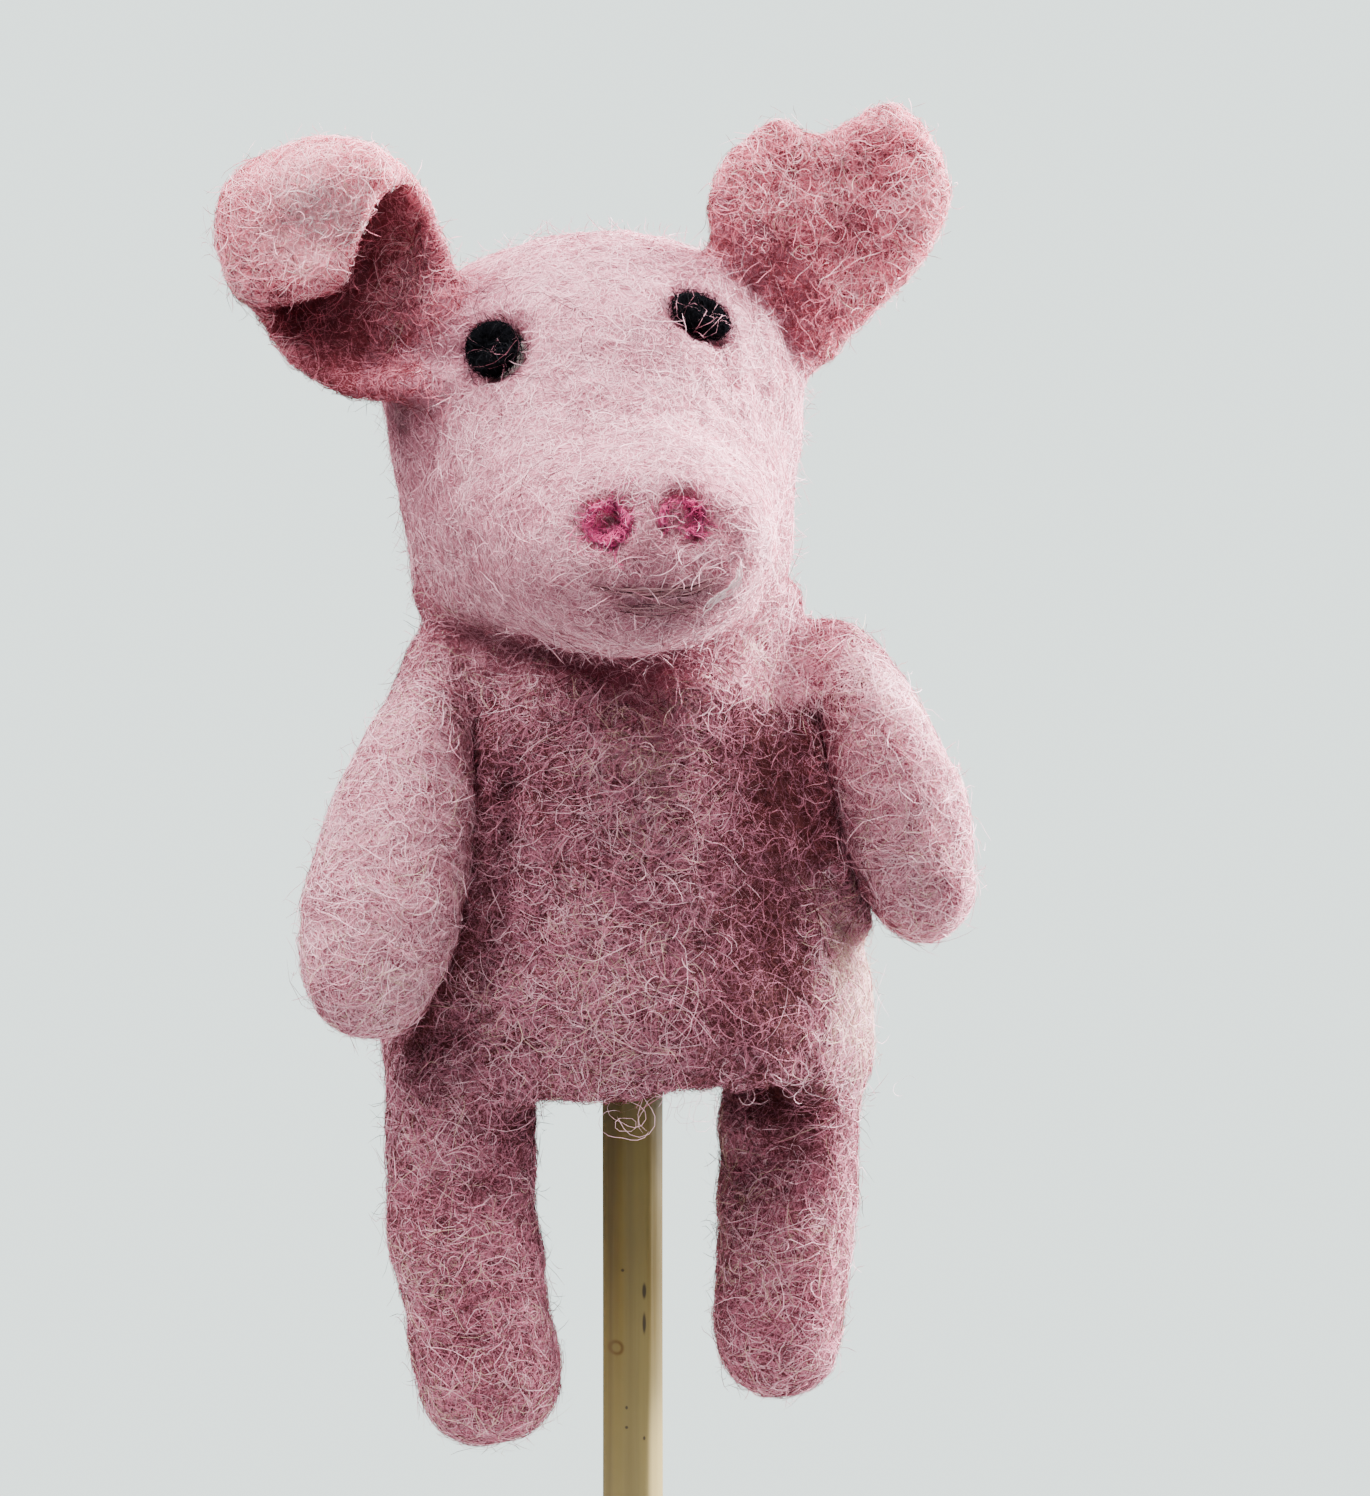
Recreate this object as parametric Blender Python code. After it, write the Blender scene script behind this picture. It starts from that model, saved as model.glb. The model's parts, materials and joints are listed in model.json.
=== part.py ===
"""Felted wool pig finger puppet, stood on a bamboo stick.

The pig faces -Y and the stick is upright. The origin is the centre of the stick's lower end.
Every dimension below is in millimetres; build_object() turns them into metres.
A wool form is a chain of elliptical rings, drawn smoothly through a few named stations.
"""
import math

import bmesh
import bpy
import numpy as np
from mathutils import Matrix, Vector
from mathutils.bvhtree import BVHTree

MM = 0.001
GAP = 0.3             # between two pieces that touch
EAR_GAP = 1.0         # between an ear and the head, so that the ear can flex
RING_SIDES = 26
LIMB_SIDES = 18
TRIM_SIDES = 12

STICK_RADIUS = 2.5
STICK_TOP = 118.0
STICK_CHAMFER = 0.5

FINGER_RADIUS = 8.0   # the pocket in the head takes a fingertip 16 mm wide
BODY_WALL = 2.4
HEM_TILT = 0.03       # the hem rises towards the pig's left
HEM_ROUND = 0.9

NECK_PIVOT_Z = 98.0
NECK_WALL = 1.4
NECK_BOTTOM = 93.5
COLLAR_CLEAR = 1.0    # no ring of the sleeve's inside comes nearer than this to the collar
NECK_TOP = 101.6
NOD_CLEAR = 2.2       # between the neck's top and the stuffing, as the head nods
NECK_OPENING = 10.4   # radius of the head's opening, which clears the neck as the head nods
NECK_OPENING_X = -1.0

HEAD_X = -3.0         # the head sits a little to the pig's right of the stick
HEAD_WALL = 3.0
POCKET_TOP = STICK_TOP + GAP
POCKET_DOME = 2.4
CAVITY_ROOF_RADIUS = 6.0
CAVITY_ROOF_DROP = 0.6
CAVITY_FLOOR_CLEAR = 1.0   # no ring of the head's form comes nearer than this to the hollow's floor
CAVITY_ROOF_CLEAR = 2.0

# Stations of the sleeve, hem to shoulders: height, half width, half depth.
BODY_X = -0.5
BODY_STATIONS = (
    (63.9, 19.3, 14.2),
    (67.5, 20.1, 14.9),
    (71.5, 19.9, 14.9),
    (76.5, 18.2, 14.3),
    (83.0, 16.4, 13.4),
    (90.0, 14.8, 12.4),
    (94.5, 13.4, 11.6),
    (96.6, 11.9, 10.9),
)

# Stations of the head, neck to crown: height, centre X, centre Y, half width, half depth.
HEAD_STATIONS = (
    (99.4, -1.6, 0.0, 12.6, 12.2),
    (101.0, -2.4, -0.2, 14.6, 13.6),
    (105.0, -2.8, -0.6, 15.4, 14.6),
    (111.0, -3.0, -0.8, 16.0, 15.2),
    (117.0, -3.2, -0.8, 16.9, 15.8),
    (122.0, -3.2, -0.8, 16.2, 15.2),
    (126.5, -2.9, -0.6, 13.0, 12.6),
    (129.6, -2.7, -0.4, 8.2, 8.0),
    (131.0, -2.6, -0.2, 2.6, 2.6),
)

# Stations of the snout, face to nose tip: Y, centre X, centre Z, half width, half height.
SNOUT_STATIONS = (
    (-8.0, -3.2, 110.6, 12.6, 11.4),
    (-14.0, -3.1, 109.0, 12.2, 10.6),
    (-19.0, -3.0, 107.6, 11.2, 9.2),
    (-23.0, -2.8, 106.8, 9.8, 7.8),
    (-25.6, -2.7, 106.6, 7.4, 5.8),
    (-26.8, -2.7, 106.6, 3.0, 2.4),
)

# Stations of a limb, root to tip: X, Y, Z, half width, half thickness.
ARM_RIGHT_STATIONS = (
    (-15.9, -3.2, 96.2, 2.7, 2.6),
    (-17.9, -6.8, 90.0, 4.2, 3.5),
    (-20.2, -9.0, 84.0, 5.6, 4.1),
    (-21.6, -10.5, 78.4, 6.0, 4.3),
    (-22.5, -11.4, 73.4, 5.2, 4.0),
)
ARM_LEFT_STATIONS = (
    (16.0, -1.6, 96.8, 2.8, 2.8),
    (18.3, -4.4, 92.6, 3.9, 3.6),
    (20.1, -5.8, 87.4, 4.7, 4.2),
    (21.1, -6.2, 83.0, 4.9, 4.4),
    (22.1, -6.2, 79.6, 4.2, 4.1),
)
LEG_RIGHT_STATIONS = (
    (-14.4, -6.0, 58.7, 5.6, 4.4),
    (-14.8, -6.2, 54.5, 6.0, 5.0),
    (-13.6, -6.8, 46.0, 6.0, 5.5),
    (-12.6, -7.4, 40.2, 5.9, 5.6),
)
LEG_LEFT_STATIONS = (
    (12.4, -2.2, 59.6, 5.3, 4.2),
    (12.2, -2.6, 55.0, 5.8, 4.9),
    (11.5, -3.4, 48.0, 5.6, 5.3),
    (11.2, -4.0, 42.8, 5.4, 5.3),
)
LIMB_TIP_DOME = 5.0
LIMB_ROOT_DOME = 2.6

# The pig's right ear is a cupped sheet whose upper outer quarter folds forward over itself.
FOLDED_EAR_PIVOT = (-16.5, -6.6, 124.5)
FOLDED_EAR_CENTRE = (-22.6, 125.6)
FOLDED_EAR_Y = -6.2
FOLDED_EAR_YAW = math.radians(-14)
FOLDED_EAR_OUTLINE = (
    (-14.6, 128.5), (-17.6, 135.4), (-24.6, 138.3), (-31.8, 135.8),
    (-33.6, 130.4), (-30.5, 122.5), (-24.0, 117.2), (-16.0, 119.2),
)
EAR_THICKNESS = 2.6
FOLD_RADIUS = 3.0
FOLD_MIDDLE = math.radians(128)
FOLD_HALF_ANGLE = math.radians(50)
FOLD_BLEND_ANGLE = math.radians(44)
FOLD_CLEAR = 2.4      # the flap's edge stops this far from the ear's centre
LIP_TURN = math.radians(55)
EAR_CUP = 2.2

# The pig's left ear is a heart-shaped pad, creased down the middle.
HEART_EAR_PIVOT = (9.6, -6.8, 125.4)
HEART_EAR_CENTRE = (15.2, 131.6)
HEART_EAR_Y = -5.2
HEART_EAR_YAW = math.radians(10)
HEART_EAR_OUTLINE = (
    (12.6, 120.4), (18.5, 124.3), (23.4, 129.8), (24.8, 135.6), (20.6, 141.6),
    (14.2, 138.4), (9.9, 140.2), (4.5, 135.8), (5.0, 129.4),
)
HEART_EAR_THICKNESS = 4.2
HEART_CREASE = 0.14

# Felted features, each placed on the surface behind it: X, Z, half width, half height, roll.
EYE_RIGHT = (-13.2, 121.9, 2.35, 2.3, 0.0)
EYE_LEFT = (3.4, 124.6, 2.6, 1.8, math.radians(-38))
EYE_THICKNESS = 2.2
EYE_SUNK = 0.7
NOSTRIL_RIGHT = (-6.4, 108.8)
NOSTRIL_LEFT = (-0.5, 109.2)
NOSTRIL_RADIUS = 1.8
NOSTRIL_HOLE = 0.45
NOSTRIL_THICKNESS = 1.2
NOSTRIL_SUNK = 0.3

# Mouth strands: the X and Z of the points that each is drawn through, across the chin.
STRAND_RADIUS = 0.35
STRAND_POINTS = 11
MOUTH_STRANDS = {
    "mouth_strand_upper": ((-7.6, 104.0), (-4.0, 103.3), (-0.8, 103.3), (1.6, 104.1)),
    "mouth_strand_lower": ((-6.0, 102.5), (-3.6, 102.0), (-1.4, 101.9), (0.4, 102.2)),
    "mouth_corner_strand": ((1.5, 102.6), (2.8, 103.3), (3.6, 104.3), (3.9, 105.4)),
}

PINK = (0.73, 0.52, 0.58)
MAUVE = (0.43, 0.21, 0.27)
ROSE = (0.52, 0.20, 0.25)
WHITE_WOOL = (0.80, 0.76, 0.72)
BLACK_WOOL = (0.010, 0.010, 0.012)
MAGENTA = (0.60, 0.08, 0.22)
UMBER = (0.16, 0.08, 0.08)
BAMBOO = (0.36, 0.31, 0.19)
WOOL_ROUGHNESS = 0.95
BAMBOO_ROUGHNESS = 0.55


def clear_scene():
    for item in list(bpy.data.objects):
        bpy.data.objects.remove(item, do_unlink=True)


def plain_material(name, colour, roughness):
    material = bpy.data.materials.new(name)
    material.use_nodes = True
    shader = material.node_tree.nodes["Principled BSDF"]
    shader.inputs["Base Color"].default_value = (*colour, 1.0)
    shader.inputs["Roughness"].default_value = roughness
    shader.inputs["Metallic"].default_value = 0.0
    return material


def build_object(name, rings, colour, looped=False, pivot=(0, 0, 0), roughness=WOOL_ROUGHNESS):
    """Skin a chain of equal rings: capped at both ends, or looped back to the first ring."""
    mesh = bpy.data.meshes.new(name)
    shape = bmesh.new()
    rows = [[shape.verts.new((point - Vector(pivot)) * MM) for point in ring] for ring in rings]
    pairs = list(zip(rows, rows[1:]))
    if looped:
        pairs.append((rows[-1], rows[0]))
    else:
        shape.faces.new(rows[0])
        shape.faces.new(rows[-1])
    for low, high in pairs:
        for index in range(len(low)):
            after = (index + 1) % len(low)
            shape.faces.new((low[index], low[after], high[after], high[index]))
    bmesh.ops.recalc_face_normals(shape, faces=shape.faces)
    shape.to_mesh(mesh)
    shape.free()
    mesh.shade_smooth()
    mesh.set_sharp_from_angle(angle=math.radians(60))
    mesh.materials.append(plain_material(name, colour, roughness))
    item = bpy.data.objects.new(name, mesh)
    item.location = Vector(pivot) * MM
    bpy.context.scene.collection.objects.link(item)
    return item


def through(stations, steps, closed=False):
    """Rows of a smooth curve through the stations, with this many steps between each two."""
    knots = np.array(stations, dtype=float)
    count = len(knots)
    rows = []
    for index in range(count if closed else count - 1):
        if closed:
            four = [knots[(index + shift) % count] for shift in (-1, 0, 1, 2)]
        else:
            four = [knots[min(max(index + shift, 0), count - 1)] for shift in (-1, 0, 1, 2)]
        before, start, end, after = four
        for step in range(steps):
            t = step / steps
            rows.append(0.5 * (2 * start + (end - before) * t
                               + (2 * before - 5 * start + 4 * end - after) * t ** 2
                               + (3 * start - before - 3 * end + after) * t ** 3))
    if not closed:
        rows.append(knots[-1])
    return rows


def ellipse(centre, side, up, half_side, half_up, sides):
    angles = [2 * math.pi * step / sides for step in range(sides)]
    return [centre + side * (half_side * math.cos(a)) + up * (half_up * math.sin(a)) for a in angles]


def level_ring(z, x, y, half_width, half_depth, tilt=0.0):
    """A flat ring round the stick's direction; tilt raises it towards +X."""
    return ellipse(Vector((x, y, z + tilt * x)), Vector((1, 0, tilt)), Vector((0, 1, 0)),
                   half_width, half_depth, RING_SIDES)


def disc_rings(radius, bottom, top, chamfer, sides):
    """Rings of an upright round bar with chamfered ends."""
    levels = ((bottom, radius - chamfer), (bottom + chamfer, radius),
              (top - chamfer, radius), (top, radius - chamfer))
    return [ellipse(Vector((0, 0, z)), Vector((1, 0, 0)), Vector((0, 1, 0)), r, r, sides)
            for z, r in levels]


def stick():
    rings = disc_rings(STICK_RADIUS, 0.0, STICK_TOP, STICK_CHAMFER, RING_SIDES)
    build_object("stick", rings, BAMBOO, roughness=BAMBOO_ROUGHNESS)


def body_sleeve():
    """Open at the hem for the finger and at the top for the neck."""
    levels = through(BODY_STATIONS, 2)
    low, high = BODY_STATIONS[0][0], BODY_STATIONS[-1][0]
    neck_opening = FINGER_RADIUS + NECK_WALL - GAP
    outside = []
    inside = []
    for z, half_width, half_depth in levels:
        tilt = HEM_TILT * (high - z) / (high - low)
        outside.append(level_ring(z, BODY_X, 0, half_width, half_depth, tilt))
        inside.append(level_ring(z, BODY_X, 0, half_width - BODY_WALL, half_depth - BODY_WALL, tilt))
    hem_middle = level_ring(low - HEM_ROUND, BODY_X, 0, BODY_STATIONS[0][1] - BODY_WALL / 2,
                            BODY_STATIONS[0][2] - BODY_WALL / 2, HEM_TILT)
    collar = [level_ring(z, 0, 0, neck_opening + GAP * 2, neck_opening + GAP * 2)
              for z in (high, NECK_BOTTOM)]
    roomy = [ring for ring, level in zip(inside, levels) if level[0] < NECK_BOTTOM - COLLAR_CLEAR]
    build_object("body_sleeve", outside + collar + roomy[::-1] + [hem_middle], MAUVE, looped=True)


def neck_join():
    """A wool tube inside both the sleeve's collar and the head's opening."""
    radii = (FINGER_RADIUS - GAP, FINGER_RADIUS + NECK_WALL - GAP)
    corners = ((radii[1], NECK_BOTTOM), (radii[1], NECK_TOP), (radii[0], NECK_TOP), (radii[0], NECK_BOTTOM))
    rings = [level_ring(z, 0, 0, radius, radius) for radius, z in corners]
    build_object("neck_join", rings, WHITE_WOOL, looped=True, pivot=(0, 0, NECK_PIVOT_Z))


def head_form(grow, steps=2):
    """Rings of the head's outside, neck to crown, moved outwards by grow."""
    crown = HEAD_STATIONS[-1][0]
    middle = (HEAD_STATIONS[0][0] + crown) / 2
    rings = []
    for z, x, y, half_width, half_depth in through(HEAD_STATIONS, steps):
        lift = grow * (z - middle) / (crown - middle)
        rings.append(level_ring(z + lift, x, y, half_width + grow, half_depth + grow))
    return rings


def cavity_rings(shrink):
    """Rings of the hollow that the stuffing fills, roof to floor."""
    roof = HEAD_STATIONS[-1][0] - HEAD_WALL - shrink
    floor = NECK_TOP + NOD_CLEAR + shrink
    rings = []
    roof_radius = CAVITY_ROOF_RADIUS - shrink
    floor_radius = NECK_OPENING - shrink
    inset = HEAD_WALL + shrink
    rings.append(level_ring(roof - CAVITY_ROOF_DROP, HEAD_X, 0, roof_radius, roof_radius))
    for z, x, y, half_width, half_depth in reversed(HEAD_STATIONS):
        if floor + CAVITY_FLOOR_CLEAR < z < roof - CAVITY_ROOF_CLEAR:
            rings.append(level_ring(z, x, y, half_width - inset, half_depth - inset))
    rings.append(level_ring(floor, NECK_OPENING_X, 0, floor_radius, floor_radius))
    return rings


def head(pivot):
    """The head's felt, open underneath; its hollow holds the stuffing."""
    mouth_of_hollow = level_ring(HEAD_STATIONS[0][0], 0, 0, NECK_OPENING, NECK_OPENING)
    rings = cavity_rings(0.0) + [mouth_of_hollow] + head_form(0.0)
    return build_object("head", rings, PINK, pivot=pivot)


def head_core(pivot):
    """Stuffing with a round-ended pocket, where the fingertip or the stick's tip goes."""
    floor = NECK_TOP + NOD_CLEAR + GAP
    pocket = []
    for degrees in (6, 24, 42, 60, 76, 90):
        turn = math.radians(degrees)
        radius = FINGER_RADIUS * math.sin(turn)
        pocket.append(level_ring(POCKET_TOP - POCKET_DOME * (1 - math.cos(turn)), 0, 0, radius, radius))
    pocket.append(level_ring(floor, 0, 0, FINGER_RADIUS, FINGER_RADIUS))
    build_object("head_core", pocket + cavity_rings(GAP)[::-1], WHITE_WOOL, pivot=pivot)


def cut(target, cutter):
    """Take the cutter's volume out of the target."""
    cutter.hide_render = True
    cutter.display_type = "WIRE"
    modifier = target.modifiers.new(cutter.name, "BOOLEAN")
    modifier.operation = "DIFFERENCE"
    modifier.object = cutter


def snout(pivot, head_cutter):
    rings = []
    for y, x, z, half_width, half_height in through(SNOUT_STATIONS, 2):
        rings.append(ellipse(Vector((x, y, z)), Vector((1, 0, 0)), Vector((0, 0, 1)),
                             half_width, half_height, RING_SIDES))
    item = build_object("snout", rings, PINK, pivot=pivot)
    surface = surface_of(item)
    cut(item, head_cutter)
    return item, surface


def surface_of(item):
    """The item's surface as it stands, in world millimetres."""
    points = [(item.location + vertex.co) / MM for vertex in item.data.vertices]
    faces = [tuple(polygon.vertices) for polygon in item.data.polygons]
    return BVHTree.FromPolygons(points, faces)


def touch(surface, x, z):
    """Where a needle pushed in from the front first meets the surface, and the way out there."""
    point, normal, _, _ = surface.ray_cast(Vector((x, -100, z)), Vector((0, 1, 0)))
    if normal.y > 0:
        normal = -normal
    return point, normal


def facing(normal, roll):
    """Unit vectors across and up a feature that lies on a surface with this normal."""
    up = (Vector((0, 0, 1)) - normal * normal.z).normalized()
    across = up.cross(normal).normalized()
    turn = Matrix.Rotation(roll, 3, normal)
    return turn @ across, turn @ up


def pad_rings(centre, normal, roll, half_width, half_height, thickness, levels):
    across, up = facing(normal, roll)
    rings = []
    for height, scale in levels:
        rings.append(ellipse(centre + normal * (thickness * height), across, up,
                             half_width * scale, half_height * scale, TRIM_SIDES))
    return rings


def eye(name, place, pivot, head_item, head_surface):
    """A flattened wad of black wool, pressed into a pocket in the head."""
    x, z, half_width, half_height, roll = place
    point, normal = touch(head_surface, x, z)
    centre = point - normal * EYE_SUNK
    domed = ((-0.25, 0.8), (-0.05, 1.0), (0.3, 0.98), (0.6, 0.72), (0.75, 0.3))
    rings = pad_rings(centre, normal, roll, half_width, half_height, EYE_THICKNESS, domed)
    build_object(name, rings, BLACK_WOOL, pivot=pivot)
    straight = ((-0.25 - GAP / EYE_THICKNESS, 1.0), (1.5, 1.0))
    walls = pad_rings(centre, normal, roll, half_width + GAP, half_height + GAP, EYE_THICKNESS, straight)
    cut(head_item, build_object(name + "_pocket", walls, BLACK_WOOL, pivot=pivot))


def nostril(name, place, pivot, snout_item, snout_surface):
    """A ring of magenta wool with a pinhole, pressed into the snout."""
    point, normal = touch(snout_surface, *place)
    centre = point - normal * NOSTRIL_SUNK
    across, up = facing(normal, 0.0)
    half_thickness = NOSTRIL_THICKNESS / 2
    middle = (NOSTRIL_RADIUS + NOSTRIL_HOLE) / 2
    rim = (NOSTRIL_RADIUS - NOSTRIL_HOLE) / 2
    rings = []
    for step in range(8):
        turn = 2 * math.pi * step / 8
        radius = middle + rim * math.cos(turn)
        rings.append(ellipse(centre + normal * (half_thickness * math.sin(turn)), across, up,
                             radius, radius, TRIM_SIDES))
    build_object(name, rings, MAGENTA, looped=True, pivot=pivot)
    levels = ((-half_thickness - GAP, 1.0), (3.0, 1.0))
    walls = pad_rings(centre, normal, 0.0, NOSTRIL_RADIUS + GAP, NOSTRIL_RADIUS + GAP, 1.0, levels)
    cut(snout_item, build_object(name + "_pocket", walls, MAGENTA, pivot=pivot))


def mouth_strand(name, route, pivot, snout_surface):
    """A loose strand of darker wool lying across the chin."""
    rows = through(route, math.ceil(STRAND_POINTS / (len(route) - 1)))
    curve = bpy.data.curves.new(name, "CURVE")
    curve.dimensions = "3D"
    curve.bevel_depth = STRAND_RADIUS * MM
    curve.bevel_resolution = 1
    curve.use_fill_caps = True
    line = curve.splines.new("POLY")
    line.points.add(len(rows) - 1)
    for control, (x, z) in zip(line.points, rows):
        point, normal = touch(snout_surface, x, z)
        place = (point + normal * (STRAND_RADIUS + GAP) - Vector(pivot)) * MM
        control.co = (*place, 1.0)
    curve.materials.append(plain_material(name, UMBER, WOOL_ROUGHNESS))
    item = bpy.data.objects.new(name, curve)
    item.location = Vector(pivot) * MM
    bpy.context.scene.collection.objects.link(item)


def ease(value):
    """0 below 0, 1 above 1, and a smooth step between."""
    value = min(max(value, 0.0), 1.0)
    return value * value * (3 - 2 * value)


def fold_profile(reach, share):
    """Middle line of the folded ear from its centre outwards: distance out, forward, and heading.

    share is 1 where the sheet folds right over and 0 where its edge is only a turned-up lip.
    """
    turn = LIP_TURN + (math.pi - LIP_TURN) * ease(2.2 * share)
    back = max((reach - FOLD_CLEAR - FOLD_RADIUS) * ease((share - 0.3) / 0.7), 0.4)
    flat_end = reach - FOLD_RADIUS
    line = [(flat_end * part, 0.0, 0.0) for part in (0.08, 0.4, 0.75, 1.0)]
    for step in range(1, 6):
        angle = turn * step / 5
        line.append((flat_end + FOLD_RADIUS * math.sin(angle), FOLD_RADIUS * (1 - math.cos(angle)), angle))
    out, forward, angle = line[-1]
    for part in (0.35, 0.7, 1.0):
        line.append((out + back * part * math.cos(angle), forward + back * part * math.sin(angle), angle))
    return line


def folded_ear(head_cutter):
    across = Vector((math.cos(FOLDED_EAR_YAW), math.sin(FOLDED_EAR_YAW), 0))
    forward = Vector((math.sin(FOLDED_EAR_YAW), -math.cos(FOLDED_EAR_YAW), 0))
    middle_x, middle_z = FOLDED_EAR_CENTRE
    centre = Vector((middle_x, FOLDED_EAR_Y, middle_z))
    half = EAR_THICKNESS / 2
    columns = []
    for x, z in through(FOLDED_EAR_OUTLINE, 5, closed=True):
        reach = math.hypot(x - middle_x, z - middle_z)
        out_dir = across * ((x - middle_x) / reach) + Vector((0, 0, (z - middle_z) / reach))
        bearing = math.atan2(z - middle_z, x - middle_x)
        away = abs((bearing - FOLD_MIDDLE + math.pi) % (2 * math.pi) - math.pi)
        share = ease((FOLD_HALF_ANGLE - away) / FOLD_BLEND_ANGLE + 0.5)
        line = fold_profile(reach - half, share)
        end_out, end_forward, end_angle = line[-1]
        tip = (end_out + half * math.cos(end_angle), end_forward + half * math.sin(end_angle), end_angle)
        sides = [(out + half * math.sin(a), ahead - half * math.cos(a)) for out, ahead, a in line]
        inner = [(out - half * math.sin(a), ahead + half * math.cos(a)) for out, ahead, a in line]
        points = []
        for out, ahead in sides + [tip[:2]] + inner[::-1]:
            cup = EAR_CUP * (1 - min(out / reach, 1.0) ** 2)
            points.append(centre + out_dir * out + forward * (ahead - cup))
        columns.append(points)
    rings = [list(ring) for ring in zip(*columns)]
    item = build_object("ear_right", rings, ROSE, pivot=FOLDED_EAR_PIVOT)
    cut(item, head_cutter)


def heart_ear(head_cutter):
    across = Vector((math.cos(HEART_EAR_YAW), math.sin(HEART_EAR_YAW), 0))
    forward = Vector((math.sin(HEART_EAR_YAW), -math.cos(HEART_EAR_YAW), 0))
    middle_x, middle_z = HEART_EAR_CENTRE
    centre = Vector((middle_x, HEART_EAR_Y, middle_z))
    outline = through(HEART_EAR_OUTLINE, 3, closed=True)
    rings = []
    for step in range(9):
        angle = math.radians(-84 + 168 * step / 8)
        scale = math.cos(angle) ** 0.55
        height = HEART_EAR_THICKNESS / 2 * math.sin(angle)
        ring = []
        for x, z in outline:
            aside = (x - middle_x) * scale
            crease = HEART_CREASE * abs(aside)
            ring.append(centre + across * aside + Vector((0, 0, (z - middle_z) * scale))
                        + forward * (height + crease))
        rings.append(ring)
    item = build_object("ear_left", rings, ROSE, pivot=HEART_EAR_PIVOT)
    cut(item, head_cutter)


def limb(name, stations, colour):
    """A wool roll with a rounded root and tip; it turns about the middle of its root."""
    rows = through(stations, 2)
    centres = [Vector(row[:3]) for row in rows]
    rings = []
    for index, row in enumerate(rows):
        first = centres[max(index - 1, 0)]
        last = centres[min(index + 1, len(rows) - 1)]
        along = (last - first).normalized()
        side = (Vector((1, 0, 0)) - along * along.x).normalized()
        depth = along.cross(side)
        if index == 0:
            rings += dome(centres[0], -along, side, depth, row[3], row[4], LIMB_ROOT_DOME)[::-1]
        rings.append(ellipse(centres[index], side, depth, row[3], row[4], LIMB_SIDES))
    rings += dome(centres[-1], along, side, depth, row[3], row[4], LIMB_TIP_DOME)
    build_object(name, rings, colour, pivot=stations[0][:3])


def dome(centre, along, side, depth, half_side, half_depth, height):
    """Rings that close a limb's end, from just past its last ring to near the pole."""
    rings = []
    for degrees in (28, 52, 72, 84):
        angle = math.radians(degrees)
        rings.append(ellipse(centre + along * (height * math.sin(angle)), side, depth,
                             half_side * math.cos(angle), half_depth * math.cos(angle), LIMB_SIDES))
    return rings


def build_head():
    pivot = (0, 0, NECK_PIVOT_Z)
    head_item = head(pivot)
    head_surface = surface_of(head_item)
    head_core(pivot)
    head_block = build_object("head_block", head_form(GAP), PINK, pivot=pivot)
    ear_block = build_object("ear_block", head_form(EAR_GAP), PINK, pivot=pivot)
    snout_item, snout_surface = snout(pivot, head_block)
    eye("eye_right", EYE_RIGHT, pivot, head_item, head_surface)
    eye("eye_left", EYE_LEFT, pivot, head_item, head_surface)
    nostril("nostril_right", NOSTRIL_RIGHT, pivot, snout_item, snout_surface)
    nostril("nostril_left", NOSTRIL_LEFT, pivot, snout_item, snout_surface)
    for name, route in MOUTH_STRANDS.items():
        mouth_strand(name, route, pivot, snout_surface)
    folded_ear(ear_block)
    heart_ear(ear_block)


def build():
    clear_scene()
    stick()
    body_sleeve()
    neck_join()
    build_head()
    limb("arm_right", ARM_RIGHT_STATIONS, PINK)
    limb("arm_left", ARM_LEFT_STATIONS, PINK)
    limb("leg_right", LEG_RIGHT_STATIONS, MAUVE)
    limb("leg_left", LEG_LEFT_STATIONS, MAUVE)


build()
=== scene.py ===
"""Looks of the hand-felted pig finger puppet on its bamboo stick.

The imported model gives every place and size. Each felt skin is sculpted as a distance field: the CAD
solids are softened, filleted into each other where the wool runs on, and given lumps. Then thousands
of curled wool fibres are laid over the skins. Lengths are in metres; MM makes them readable.
"""

import json
import math

import bpy
import numpy as np
import openvdb as vdb
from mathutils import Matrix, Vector


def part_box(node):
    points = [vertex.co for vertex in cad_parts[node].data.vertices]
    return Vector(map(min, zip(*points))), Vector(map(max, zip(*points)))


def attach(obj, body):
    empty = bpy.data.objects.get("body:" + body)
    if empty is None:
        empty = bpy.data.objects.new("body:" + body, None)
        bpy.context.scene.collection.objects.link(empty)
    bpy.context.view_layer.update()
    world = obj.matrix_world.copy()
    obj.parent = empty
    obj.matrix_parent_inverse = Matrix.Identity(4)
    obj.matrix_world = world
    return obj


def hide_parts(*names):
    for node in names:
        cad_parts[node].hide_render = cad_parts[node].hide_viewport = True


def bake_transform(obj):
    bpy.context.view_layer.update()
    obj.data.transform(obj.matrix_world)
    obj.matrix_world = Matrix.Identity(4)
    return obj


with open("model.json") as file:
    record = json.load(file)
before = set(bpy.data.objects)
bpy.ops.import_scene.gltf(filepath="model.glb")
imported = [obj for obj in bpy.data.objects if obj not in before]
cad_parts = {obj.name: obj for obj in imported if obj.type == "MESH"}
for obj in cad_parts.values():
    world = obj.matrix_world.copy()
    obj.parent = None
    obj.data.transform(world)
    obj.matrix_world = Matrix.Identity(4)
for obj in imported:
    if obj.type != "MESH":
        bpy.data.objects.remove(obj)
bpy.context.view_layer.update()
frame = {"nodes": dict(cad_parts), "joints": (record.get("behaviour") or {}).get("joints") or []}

MM = 0.001
VOXEL = 0.4 * MM
BAND = 12                  # half width of the distance fields, in voxels
MARGIN = 4 * MM
SOFTENING = 4              # blur passes that take the facets off the CAD solids
TRIM_SOFTENING = 1
LUMP = 0.30 * MM           # how high the broad lumps and the small dents are, and how wide
LUMP_CELL = 4.0 * MM
DENT = 0.13 * MM
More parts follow.
